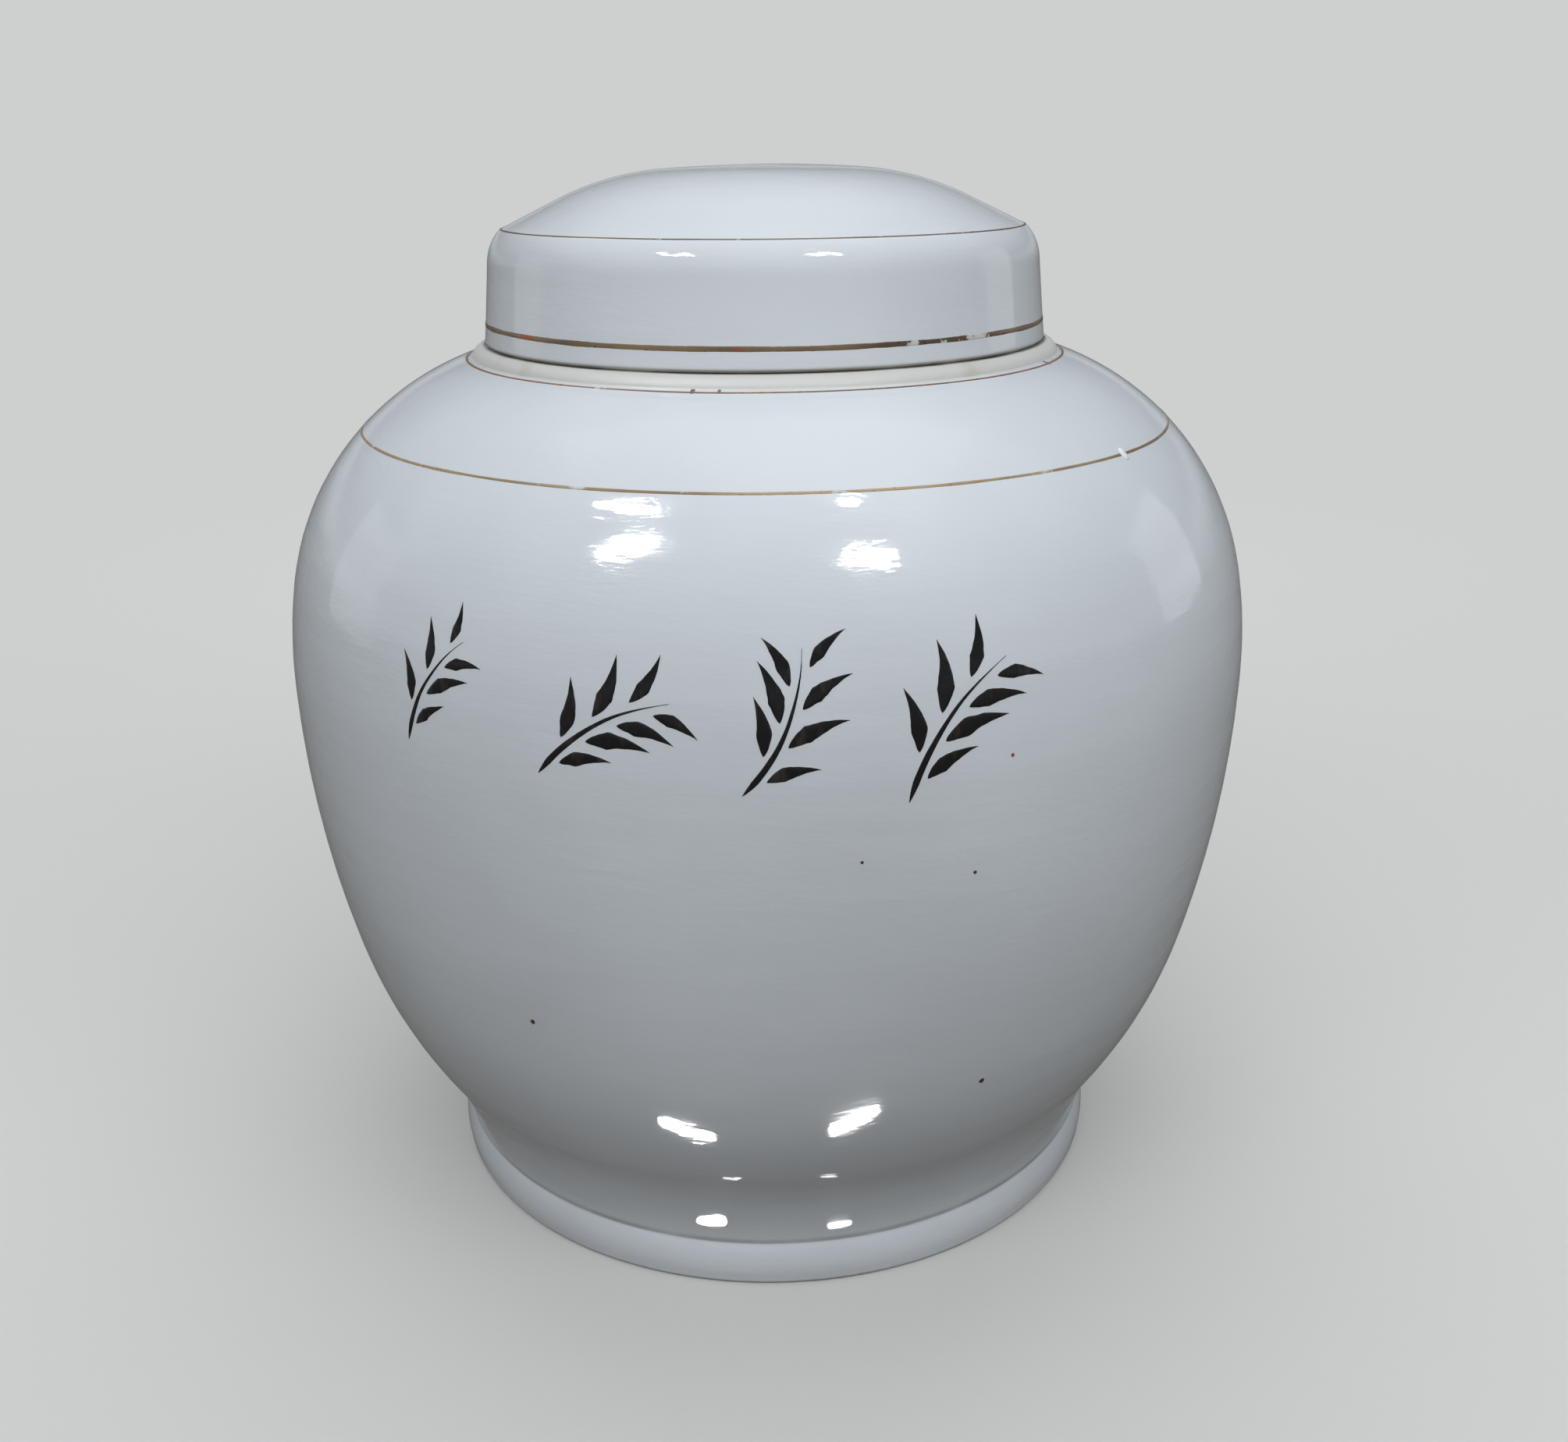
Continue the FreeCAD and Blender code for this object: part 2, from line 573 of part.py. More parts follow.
def painted_layer(body):
    """A thin band on the belly's outer face, from the widest place up onto the shoulder."""
    outline = make_outline(body, body.Name + "_layer")
    size = outline.value
    turn, layer = size("Sizes.upper_belly_turn"), size("Sizes.layer")
    upper_radius, shoulder_radius = size("Sizes.upper_belly_arc"), size("Sizes.shoulder_arc")
    upper_centre = point(size("Sizes.belly_radius") - upper_radius, size("Sizes.belly_height"))
    shoulder_centre = polar(upper_centre, upper_radius - shoulder_radius, turn)
    height = size("Sizes.painted_top") - shoulder_centre.y
    arcs = []
    for extra, inset in ((0, "0"), (layer, "Sizes.layer")):
        upper = outline.arc(upper_centre, upper_radius + extra, 0, turn)
        last = math.degrees(math.asin(height / (shoulder_radius + extra)))
        shoulder = outline.arc(shoulder_centre, shoulder_radius + extra, turn, last)
        outline.tie("Tangent", upper, 2, shoulder, 1)
        outline.tie("Horizontal", upper, 1, upper, 3)
        outline.bind("DistanceX", upper, 3, "Sizes.belly_radius - Sizes.upper_belly_arc")
        outline.bind("DistanceY", upper, 3, "Sizes.belly_height")
        outline.bind("Radius", upper, "Sizes.upper_belly_arc + " + inset)
        outline.bind("Angle", upper, "Sizes.upper_belly_turn")
        outline.bind("Radius", shoulder, "Sizes.shoulder_arc + " + inset)
        outline.bind("DistanceY", shoulder, 2, "Sizes.painted_top")
        arcs.append((upper, shoulder))
    geometry = outline.sketch.Geometry
    (inner_low, inner_high), (outer_low, outer_high) = arcs
    low = outline.line(geometry[inner_low].StartPoint, geometry[outer_low].StartPoint)
    high = outline.line(geometry[inner_high].EndPoint, geometry[outer_high].EndPoint)
    outline.tie("Coincident", low, 1, inner_low, 1)
    outline.tie("Coincident", low, 2, outer_low, 1)
    outline.tie("Coincident", high, 1, inner_high, 2)
    outline.tie("Coincident", high, 2, outer_high, 2)
    return outline


def spray_strokes(leaves, bend, stem_width, leaf_length, leaf_width):
    """The stem and leaves of one spray, for a stem of length 1 along the x axis.

    Each stroke is (start x, start y, direction, length, width, bend).
    """
    strokes = [(0.0, 0.0, 0.0, 1.0, stem_width, bend)]
    for number in range(leaves):
        along = 0.16 + 0.74 * number / (leaves - 1)
        side = 1 if number % 2 else -1
        stem_place = point(along, 4 * bend * along * (1 - along))
        heading = math.degrees(math.atan(4 * bend * (1 - 2 * along)))
        foot = polar(stem_place, LEAF_GAP + stem_width / 2, heading + 90 * side)
        length = leaf_length * (1 - 0.35 * abs(along - 0.45) / 0.55)
        direction = heading + LEAF_SPLAY * side
        strokes.append((foot.x, foot.y, direction, length, leaf_width * length, -0.08 * side))
    return strokes


def draw_stroke(outline, stem, stroke):
    """One brush stroke: two arcs that meet in a point at each end."""
    x, y, direction, length, width, bend = stroke
    scale = outline.value(stem)
    foot = point(x * scale, y * scale)
    tip = polar(foot, length * scale, direction)
    spine = outline.sketch.addGeometry(Part.LineSegment(foot, tip), True)
    for axis, place in (("DistanceX", x), ("DistanceY", y)):
        if place:
            outline.bind(axis, spine, 1, "%s * %.5f" % (stem, place))
    if not x and not y:
        outline.tie("Coincident", spine, 1, -1, 1)
    outline.bind("Distance", spine, "%s * %.5f" % (stem, length))
    if direction:
        outline.bind("Angle", spine, "%.5f" % direction)
    else:
        outline.level(spine)
    for side in (1, -1):
        bulge = bend * length + side * width / 2
        radius = (length ** 2 / 4 + bulge ** 2) / (2 * abs(bulge))
        away = math.copysign(radius - abs(bulge), bulge)
        centre = polar((foot + tip) * 0.5, -away * scale, direction + 90)
        half = math.degrees(math.asin(length / 2 / radius))
        across = direction + math.copysign(90, bulge)
        edge = outline.arc(centre, radius * scale, across - half, across + half)
        near, far = (2, 1) if bulge > 0 else (1, 2)
        outline.tie("Coincident", edge, near, spine, 1)
        outline.tie("Coincident", edge, far, spine, 2)
        outline.bind("Radius", edge, "%s * %.5f" % (stem, radius))


def make_spray(doc, letter):
    """One painted spray: the thin layer, cleared everywhere but on the brush strokes."""
    body = make_body(doc, "painted_spray_" + letter)
    cells = {word: "Sizes.spray_%s_%s" % (letter, word) for word in SPRAYS[0]}
    turn_about_axis(body, painted_layer(body), "Revolution", PAINTED_SPAN)
    outline = make_outline(body, body.Name + "_strokes", "YZ_Plane")
    size = outline.value
    frame = outline.chain([
        point(-MARGIN, -MARGIN), point(MARGIN, -MARGIN), point(MARGIN, MARGIN),
        point(-MARGIN, MARGIN), point(-MARGIN, -MARGIN)])
    outline.tie("Coincident", frame[3], 2, frame[0], 1)
    outline.level(frame[0], frame[2])
    outline.upright(frame[1], frame[3])
    outline.tie("Symmetric", frame[0], 1, frame[1], 2, -1, 1)
    outline.bind("DistanceX", frame[0], "%s" % (2 * MARGIN))
    outline.bind("DistanceY", frame[1], "%s" % (2 * MARGIN))
    for stroke in spray_strokes(int(size(cells["leaves"])), size(cells["bend"]),
                                size("Sizes.stem_width"), size("Sizes.leaf_length"),
                                size("Sizes.leaf_width")):
        draw_stroke(outline, cells["length"], stroke)
    place_outline(outline, "0", cells["height"], cells["lean"])
    clear = body.newObject("PartDesign::Pocket", body.Name + "_clear")
    clear.Profile = outline.sketch
    clear.Type = "ThroughAll"
    clear.Reversed = True
    body.Placement = Placement(Vector(), Rotation(Vector(0, 0, 1), size(cells["azimuth"]) - 90))
    body.setExpression("Placement.Rotation.Angle", "(%s - 90) * 1 deg" % cells["azimuth"])
    return body


def check(doc, parts):
    """Stops if any object failed or any part is not a sound solid."""
    for item in doc.Objects:
        if "Invalid" in item.State or "Error" in item.State:
            raise RuntimeError("%s failed: %s" % (item.Label, item.State))
    for part in parts:
        shape = part.Shape
        if shape.isNull() or not shape.isValid() or not shape.Solids:
            raise RuntimeError("%s has no sound solid" % part.Label)
        box = shape.optimalBoundingBox()
        print("%-26s %2d solids %10.1f mm3  x %7.2f %7.2f  y %7.2f %7.2f  z %7.2f %7.2f" % (
            part.Label, len(shape.Solids), shape.Volume,
            box.XMin, box.XMax, box.YMin, box.YMax, box.ZMin, box.ZMax))


def main():
    doc = FreeCAD.newDocument("ginger_jar")
    make_sheet(doc)
    parts = [make_jar(doc), make_lid(doc)]
    parts.append(flat_gilt_line(
        doc, "crown_gilt_line", "Sizes.crown_edge_radius", "Sizes.crown_edge_height",
        "90 - Sizes.crown_slope", "0", "Sizes.crown_line_width"))
    parts.append(flat_gilt_line(
        doc, "skirt_gilt_line", "Sizes.rim_radius", "Sizes.ledge_height",
        "Sizes.skirt_lean", "Sizes.skirt_line_rise", "Sizes.skirt_line_width"))
    parts.append(round_gilt_line(
        doc, "neck_gilt_line", "Sizes.neck_line_turn", "Sizes.neck_line_width"))
    parts.append(round_gilt_line(
        doc, "shoulder_gilt_line", "Sizes.shoulder_line_turn", "Sizes.shoulder_line_width"))
    for letter in "abcd":
        parts.append(make_spray(doc, letter))
    doc.recompute()
    check(doc, parts)
    os.makedirs("parts", exist_ok=True)
    for part in parts:
        part.Shape.exportStep(os.path.join("parts", part.Label + ".step"))


main()
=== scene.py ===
"""Looks of the porcelain ginger jar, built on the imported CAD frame.

Metres, +Z up, the painted front faces -Y. The sizes below repeat the CAD part's, in
millimetres, and are turned into metres where points are made.
"""
import bpy
import math
from mathutils import Matrix, Vector, noise


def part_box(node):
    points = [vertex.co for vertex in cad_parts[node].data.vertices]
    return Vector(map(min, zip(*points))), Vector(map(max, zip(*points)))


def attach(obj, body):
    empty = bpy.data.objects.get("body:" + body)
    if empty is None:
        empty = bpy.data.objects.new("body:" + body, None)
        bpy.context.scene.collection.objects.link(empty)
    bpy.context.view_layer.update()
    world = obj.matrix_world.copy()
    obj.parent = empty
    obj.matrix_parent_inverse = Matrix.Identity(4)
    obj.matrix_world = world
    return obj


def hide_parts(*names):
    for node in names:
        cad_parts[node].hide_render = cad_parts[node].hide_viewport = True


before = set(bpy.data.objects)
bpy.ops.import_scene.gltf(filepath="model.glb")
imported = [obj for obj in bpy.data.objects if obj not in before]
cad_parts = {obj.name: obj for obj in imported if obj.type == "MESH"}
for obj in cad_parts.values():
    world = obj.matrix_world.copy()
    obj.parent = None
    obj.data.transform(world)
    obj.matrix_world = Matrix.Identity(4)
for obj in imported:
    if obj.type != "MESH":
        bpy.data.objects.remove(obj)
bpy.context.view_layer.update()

MM = 0.001
BELLY_RADIUS, BELLY_HEIGHT = 102.7, 117.5
UPPER_ARC, UPPER_TURN, SHOULDER_ARC = 100.0, 12.0, 57.0
LOWER_ARC, LOWER_TURN, TAPER_ARC, TAPER_TURN, SWEEP_ARC = 237.0, 14.0, 105.0, 18.5, 60.0
WALL = 4.6
FOOT_HEIGHT, FOOT_RADIUS, FOOT_FACE_ARC = 9.5, 74.9, 14.0
RECESS_RADIUS, RECESS_DEPTH, RECESS_DRAFT, RECESS_ROUND, FOOT_ROUND = 67.0, 6.0, 1.5, 2.0, 1.1
FLOOR_HEIGHT, FLOOR_ROUND = 11.5, 12.0
LEDGE_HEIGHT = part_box("lid")[0][2] / MM
LEDGE_RADIUS, LEDGE_ROUND = 58.2, 3.0
NECK_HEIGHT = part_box("jar_body")[1][2] / MM
NECK_RADIUS, BORE_RADIUS, BORE_ROUND, LIP_ROUND = 52.7, 48.0, 2.5, 2.1
RIM_RADIUS, SKIRT_LEAN, CORNER_ARC = 58.3, 5.4, 10.0
EDGE_RADIUS, EDGE_HEIGHT = 53.9, 205.8
CROWN_SLOPE, CROWN_TURN_ARC, CROWN_FLAT, CROWN_TOP_ARC = 25.5, 60.0, 20.0, 333.0
LID_WALL, LID_BORE, LID_CORNER, RIM_ROUND = 4.2, 53.6, 4.0, 0.9
# on the shoulder's arc, degrees: the two gilt lines, and where the ledge's rounding meets it
NECK_LINE, SHOULDER_LINE, MEET_ANGLE = 72.2, 46.1, 73.31
STEP_ANGLE = 12.29                              # where the ledge's own rounding begins, degrees
SEGMENTS = 256                                  # steps round the jar and the lid
# hand-made unevenness: out of round, turning rings, slow swells and small ripples
OVAL, RINGS, SWELL, RIPPLE = 0.10, 0.012, 0.10, 0.028
LID_OVAL, LID_SWELL, LID_RIPPLE = 0.06, 0.06, 0.02
# how far a gilt line and a brush stroke stand out of the glaze and reach down into it
GILT_LAYER, GILT_SINK, STROKE_RISE, STROKE_SINK = 0.055, 0.05, 0.075, 0.06
# a spray's proportions: the stem's width, the leaves' length and their gap to the stem as
# shares of the stem's length, their width as a share of their own, their opening in degrees
STEM_WIDTH, LEAF_LENGTH, LEAF_GAP, LEAF_WIDTH, LEAF_OPENING = 0.046, 0.43, 0.056, 0.27, 41
# azimuth, height of the stem's foot, stem length, lean, bend, side leaves
SPRAYS = {
    "painted_spray_a": (-38.4, 123.6, 22.5, 58.0, 0.10, 6),
    "painted_spray_b": (-22.4, 122.6, 26.5, 31.0, 0.10, 7),
    "painted_spray_c": (-2.6, 121.0, 26.0, 68.0, -0.10, 7),
    "painted_spray_d": (13.0, 118.4, 29.0, 52.0, 0.10, 7),
}


# ---------------------------------------------------------------- profiles, in millimetres

def polar(centre, radius, degrees):
    """The point at an angle and a distance from a centre."""
    turn = math.radians(degrees)
    return centre[0] + radius * math.cos(turn), centre[1] + radius * math.sin(turn)


def arc(centre, radius, first, last, step=2.0):
    """Points along an arc between two angles in degrees, about `step` apart."""
    count = max(3, round(abs(radius * math.radians(last - first)) / step))
    return [polar(centre, radius, first + (last - first) * i / count) for i in range(count + 1)]


def straight(start, end, step=2.0):
    """Points along a straight line, about `step` apart."""
    count = max(1, round(math.dist(start, end) / step))
    return [(start[0] + (end[0] - start[0]) * i / count,
             start[1] + (end[1] - start[1]) * i / count) for i in range(count + 1)]


def join(*runs):
    """One list of points from several runs, without the doubled ends."""
    points = []
    for run in runs:
        for p in run:
            if not points or math.dist(points[-1], p) > 1e-4:
                points.append(p)
    return points


def wall_centres():
    """Centres of the wall's five arcs, from the widest place down and then up."""
    belly = (BELLY_RADIUS - LOWER_ARC, BELLY_HEIGHT)
    taper = polar(polar(belly, LOWER_ARC, -LOWER_TURN), -TAPER_ARC, -LOWER_TURN)
    sweep = polar(taper, TAPER_ARC + SWEEP_ARC, -LOWER_TURN - TAPER_TURN)
    upper = (BELLY_RADIUS - UPPER_ARC, BELLY_HEIGHT)
    shoulder = polar(upper, UPPER_ARC - SHOULDER_ARC, UPPER_TURN)
    return belly, taper, sweep, upper, shoulder


def wall(inset, foot_angle, shoulder_angle):
    """The wall from the foot sweep up to the shoulder, `inset` inside the outer face."""
    belly, taper, sweep, upper, shoulder = wall_centres()
    lowest = LOWER_TURN + TAPER_TURN
    return join(arc(sweep, SWEEP_ARC + inset, foot_angle, 180 - lowest),
                arc(taper, TAPER_ARC - inset, -lowest, -LOWER_TURN),
                arc(belly, LOWER_ARC - inset, -LOWER_TURN, 0),
                arc(upper, UPPER_ARC - inset, 0, UPPER_TURN),
                arc(shoulder, SHOULDER_ARC - inset, UPPER_TURN, shoulder_angle))


def fillet(before, corner, after, radius, step=0.3):
    """Points of a rounding between two straight edges that meet at a corner."""
    a = Vector(before) - Vector(corner)
    b = Vector(after) - Vector(corner)
    a.normalize()
    b.normalize()
    half = a.angle(b) / 2
    middle = Vector(corner) + (a + b).normalized() * (radius / math.sin(half))
    start = Vector(corner) + a * (radius / math.tan(half)) - middle
    end = Vector(corner) + b * (radius / math.tan(half)) - middle
    count = max(3, round(radius * (math.pi - 2 * half) / step))
    return [tuple(middle + start.normalized().slerp(end.normalized(), i / count) * radius)
            for i in range(count + 1)]


def jar_profile():
    """Closed section of the jar from the axis under its base round to the axis on its floor."""
    _, _, sweep, _, shoulder = wall_centres()
    crease_turn = math.degrees(math.asin((FOOT_HEIGHT - sweep[1]) / SWEEP_ARC))
    crease = polar(sweep, SWEEP_ARC, 180 - crease_turn)
    foot = (FOOT_RADIUS, 0.0)
    chord = Vector(crease) - Vector(foot)
    away = math.sqrt(FOOT_FACE_ARC ** 2 - (chord.length / 2) ** 2)
    face = (Vector(foot) + Vector(crease)) / 2 + Vector((-chord.y, chord.x)).normalized() * away
    first = math.degrees(math.atan2(foot[1] - face.y, foot[0] - face.x))
    last = math.degrees(math.atan2(crease[1] - face.y, crease[0] - face.x))
    lift = math.degrees(1.35 * FOOT_ROUND / FOOT_FACE_ARC)
    low_face = polar(face, FOOT_FACE_ARC, first + lift)
    recess_top = RECESS_RADIUS - RECESS_DRAFT
    step_centre = (LEDGE_RADIUS, LEDGE_HEIGHT - LEDGE_ROUND)
    blend = 180 - crease_turn - 4                # finer steps between the crease and here
    # inside: floor, sweep, shoulder, throat and bore
    rise = sweep[1] - FLOOR_HEIGHT - FLOOR_ROUND
    reach = math.sqrt((SWEEP_ARC + WALL + FLOOR_ROUND) ** 2 - rise ** 2)
    corner = (sweep[0] - reach, FLOOR_HEIGHT + FLOOR_ROUND)
    corner_turn = math.degrees(math.atan2(rise, reach))
    across = BORE_RADIUS + BORE_ROUND - shoulder[0]
    up = math.sqrt((SHOULDER_ARC - WALL + BORE_ROUND) ** 2 - across ** 2)
    throat = (BORE_RADIUS + BORE_ROUND, shoulder[1] + up)
    throat_turn = math.degrees(math.atan2(up, across))
    outside = join(
        straight((0, RECESS_DEPTH), (recess_top - 2, RECESS_DEPTH), 4),
        fillet((0, RECESS_DEPTH), (recess_top, RECESS_DEPTH), (RECESS_RADIUS, 0), RECESS_ROUND),
        fillet((recess_top, RECESS_DEPTH), (RECESS_RADIUS, 0), foot, FOOT_ROUND),
        straight((RECESS_RADIUS + 1.6, 0), (FOOT_RADIUS - 1.6, 0)),
        fillet((RECESS_RADIUS, 0), (FOOT_RADIUS + 0.25, 0), low_face, FOOT_ROUND),
        arc(face, FOOT_FACE_ARC, first + lift, last - 0.8, 0.4),
        arc(sweep, SWEEP_ARC, 180 - crease_turn - 0.15, blend, 0.3),
        wall(0, blend, MEET_ANGLE),
        arc(step_centre, LEDGE_ROUND, STEP_ANGLE + 6, 90, 0.25),
        straight((LEDGE_RADIUS, LEDGE_HEIGHT), (NECK_RADIUS + 0.6, LEDGE_HEIGHT), 0.8),
        arc((NECK_RADIUS + 0.6, LEDGE_HEIGHT + 0.6), 0.6, 270, 180, 0.2),
        straight((NECK_RADIUS, LEDGE_HEIGHT + 0.6), (NECK_RADIUS, NECK_HEIGHT - LIP_ROUND)),
        arc((NECK_RADIUS - LIP_ROUND, NECK_HEIGHT - LIP_ROUND), LIP_ROUND, 0, 90, 0.3),
        arc((BORE_RADIUS + LIP_ROUND, NECK_HEIGHT - LIP_ROUND), LIP_ROUND, 90, 180, 0.3),
        straight((BORE_RADIUS, NECK_HEIGHT - LIP_ROUND), (BORE_RADIUS, throat[1])),
        arc(throat, BORE_ROUND, 180, 180 + throat_turn, 0.4))
    inside = wall(WALL, 180 + corner_turn, throat_turn)
    inside.reverse()
    floor = join(arc(corner, FLOOR_ROUND, corner_turn, -90),
                 straight((corner[0], FLOOR_HEIGHT), (0, FLOOR_HEIGHT), 4))
    return join(outside, inside, floor)


def crown(inset):
    """The crown from its outer edge to the axis, `inset` inside the outer face."""
    flat = math.degrees(math.asin(CROWN_FLAT / CROWN_TOP_ARC))
    top, turn = CROWN_TOP_ARC - inset, CROWN_TURN_ARC - inset
    start = polar((EDGE_RADIUS, EDGE_HEIGHT), -inset, 90 - CROWN_SLOPE)
    across = ((top - turn) * math.sin(math.radians(flat))
              + turn * math.sin(math.radians(CROWN_SLOPE)))
    meet = polar(start, (start[0] - across) / math.cos(math.radians(CROWN_SLOPE)),
                 180 - CROWN_SLOPE)
    turn_centre = polar(meet, -turn, 90 - CROWN_SLOPE)
    top_centre = polar(turn_centre, turn - top, 90 - flat)
    return start, meet, join(arc(turn_centre, turn, 90 - CROWN_SLOPE, 90 - flat),
                             arc(top_centre, top, 90 - flat, 90, 1.6))


def skirt_point(rise, out=0.0):
    """A point on the lid's skirt, `rise` along it from the rim and `out` from its face."""
    lean = math.radians(SKIRT_LEAN)
    return (RIM_RADIUS - rise * math.sin(lean) + out * math.cos(lean),
            LEDGE_HEIGHT + rise * math.cos(lean) + out * math.sin(lean))


def lid_profile():
    """Closed section of the lid from the axis under its crown round to the axis on top."""
    edge, meet, outer = crown(0)
    normal = Vector(polar((0, 0), 1, SKIRT_LEAN))
    inside = (Vector((RIM_RADIUS, LEDGE_HEIGHT)) - Vector(edge)).dot(normal)
    last = SKIRT_LEAN + math.degrees(math.acos(1 - inside / CORNER_ARC))
    corner = polar(edge, -CORNER_ARC, last)
    outer.reverse()
    start, inner_meet, inner = crown(LID_WALL)
    slope = math.radians(CROWN_SLOPE)
    across = LID_BORE - LID_CORNER
    up = start[1] + (start[0] - across) * math.tan(slope) - LID_CORNER / math.cos(slope)
    rim_out, rim_in = skirt_point(0), (LID_BORE, LEDGE_HEIGHT)
    points = join(
        outer, straight(meet, edge, 0.9),
        arc(corner, CORNER_ARC, last, SKIRT_LEAN, 0.4),
        straight(polar(corner, CORNER_ARC, SKIRT_LEAN), skirt_point(1.2), 1.0),
        fillet(skirt_point(6), rim_out, rim_in, RIM_ROUND, 0.2),
        fillet(rim_out, rim_in, (LID_BORE, up), RIM_ROUND, 0.2),
        straight((LID_BORE, LEDGE_HEIGHT + 1.2), (LID_BORE, up)),
        arc((across, up), LID_CORNER, 0, 90 - CROWN_SLOPE, 0.4),
        straight(polar((across, up), LID_CORNER, 90 - CROWN_SLOPE), inner_meet),
        inner)
    points.reverse()
    return points


# ---------------------------------------------------------------- hand-made unevenness

def jar_wobble(angle, radius, height):
    """How far the jar's surface stands out from its true round, in millimetres."""
    x, y = radius * math.cos(angle), radius * math.sin(angle)
    fade = min(1.0, max(0.0, (LEDGE_HEIGHT - 4 - height) / 12)) * min(1.0, max(0.0, height / 14))
    rings = math.sin(height * 0.83 + 1.4 * noise.noise(Vector((x, y, height)) * 0.012))
    swell = noise.noise(Vector((x * 0.018, y * 0.018, height * 0.030)))
    ripple = noise.noise(Vector((x * 0.07, y * 0.07, height * 0.16)) + Vector((7, 3, 1)))
    return fade * (OVAL * math.sin(2 * angle + 0.6) + RINGS * rings + SWELL * swell
                   + RIPPLE * ripple)


def lid_wobble(angle, radius, height):
    """The same for the lid's surface."""
    x, y = radius * math.cos(angle), radius * math.sin(angle)
    fade = min(1.0, max(0.0, (height - LEDGE_HEIGHT - 0.5) / 6))
    swell = noise.noise(Vector((x * 0.03, y * 0.03, height * 0.03)) + Vector((2, 9, 4)))
    ripple = noise.noise(Vector((x * 0.10, y * 0.10, height * 0.16)) + Vector((1, 5, 8)))
    return fade * (LID_OVAL * math.sin(2 * angle - 0.9) + LID_SWELL * swell
                   + LID_RIPPLE * ripple)


# ---------------------------------------------------------------- mesh making

def new_object(name, vertices, faces):
    """A smooth-shaded object from points in millimetres."""
    mesh = bpy.data.meshes.new(name)
    mesh.from_pydata([Vector(v) * MM for v in vertices], [], faces)
    mesh.validate()
    mesh.update()
    mesh.polygons.foreach_set("use_smooth", [True] * len(mesh.polygons))
    piece = bpy.data.objects.new(name, mesh)
    bpy.context.scene.collection.objects.link(piece)
    return piece


def lathe(name, profile, wobble):
    """Turns a section whose two ends are on the axis into a closed solid."""
    vertices, faces = [], []
    rings = []
    count = len(profile)
    for index, (radius, height) in enumerate(profile):
        if index in (0, count - 1):
            rings.append([len(vertices)])
            vertices.append((0.0, 0.0, height))
            continue
        before, after = profile[index - 1], profile[index + 1]
        run = Vector((after[0] - before[0], after[1] - before[1])).normalized()
        out = Vector((run.y, -run.x))
        ring = []
        for step in range(SEGMENTS):
            angle = 2 * math.pi * step / SEGMENTS
            push = wobble(angle, radius, height)
            r, z = radius + out.x * push, height + out.y * push
            ring.append(len(vertices))
            vertices.append((r * math.cos(angle), r * math.sin(angle), z))
        rings.append(ring)
    for low, high in zip(rings, rings[1:]):
        for step in range(SEGMENTS):
            after = (step + 1) % SEGMENTS
            if len(low) == 1:
                faces.append((low[0], high[step], high[after]))
            elif len(high) == 1:
                faces.append((low[step], high[0], low[after]))
            else:
                faces.append((low[step], high[step], high[after], low[after]))
    return new_object(name, vertices, [tuple(reversed(f)) for f in faces])


def ring_band(name, place, half_width, wobble, seed):
    """A thin painted ring. place(along, out) gives a point of the section in millimetres."""
    edge = 0.3 * GILT_LAYER
    shape = ((-1, -GILT_SINK), (-1, edge), (-0.7, GILT_LAYER), (0.7, GILT_LAYER), (1, edge),
             (1, -GILT_SINK))
    vertices, faces = [], []
    segments = 900
    for step in range(segments):
        angle = 2 * math.pi * step / segments
        turn = Vector((math.cos(angle), math.sin(angle), 0))
        waver = 0.10 * noise.noise(turn * 3 + Vector((seed, 0, 0)))
        swell = 1 + 0.20 * noise.noise(turn * 9 + Vector((seed, 4, 0))) \
            + 0.10 * noise.noise(turn * 60 + Vector((seed, 8, 0)))
        for side, out in shape:
            radius, height = place(waver + side * half_width * swell, out)
            push = wobble(angle, radius, height)
            radius, height = place(waver + side * half_width * swell, out + push)
            vertices.append((radius * turn.x, radius * turn.y, height))
    n = len(shape)
    for step in range(segments):
        a, b = step * n, ((step + 1) % segments) * n
        for i in range(n):
            j = (i + 1) % n
            faces.append((a + i, b + i, b + j, a + j))
    return new_object(name, vertices, faces)


def wall_surface(across, height, out, azimuth):
    """A point standing `out` proud of the jar's outer wall at any height."""
    belly, taper, sweep, upper, shoulder = wall_centres()
    low = polar(taper, TAPER_ARC, -LOWER_TURN - TAPER_TURN)[1]
    middle = polar(belly, LOWER_ARC, -LOWER_TURN)[1]
    top = polar(upper, UPPER_ARC, UPPER_TURN)[1]
    if height < low:
        centre, radius, sign = sweep, SWEEP_ARC, -1
    elif height < middle:
        centre, radius, sign = taper, TAPER_ARC, 1
    elif height < BELLY_HEIGHT:
        centre, radius, sign = belly, LOWER_ARC, 1
    elif height < top:
        centre, radius, sign = upper, UPPER_ARC, 1
    else:
        centre, radius, sign = shoulder, SHOULDER_ARC, 1
    tilt = math.asin((height - centre[1]) / radius)
    r = centre[0] + sign * radius * math.cos(tilt)
    turn = math.radians(azimuth - 90) + math.asin(across / r)
    out += jar_wobble(turn, r, height)
    r, z = r + out * math.cos(tilt), height + sign * out * math.sin(tilt)
    return r * math.cos(turn), r * math.sin(turn), z


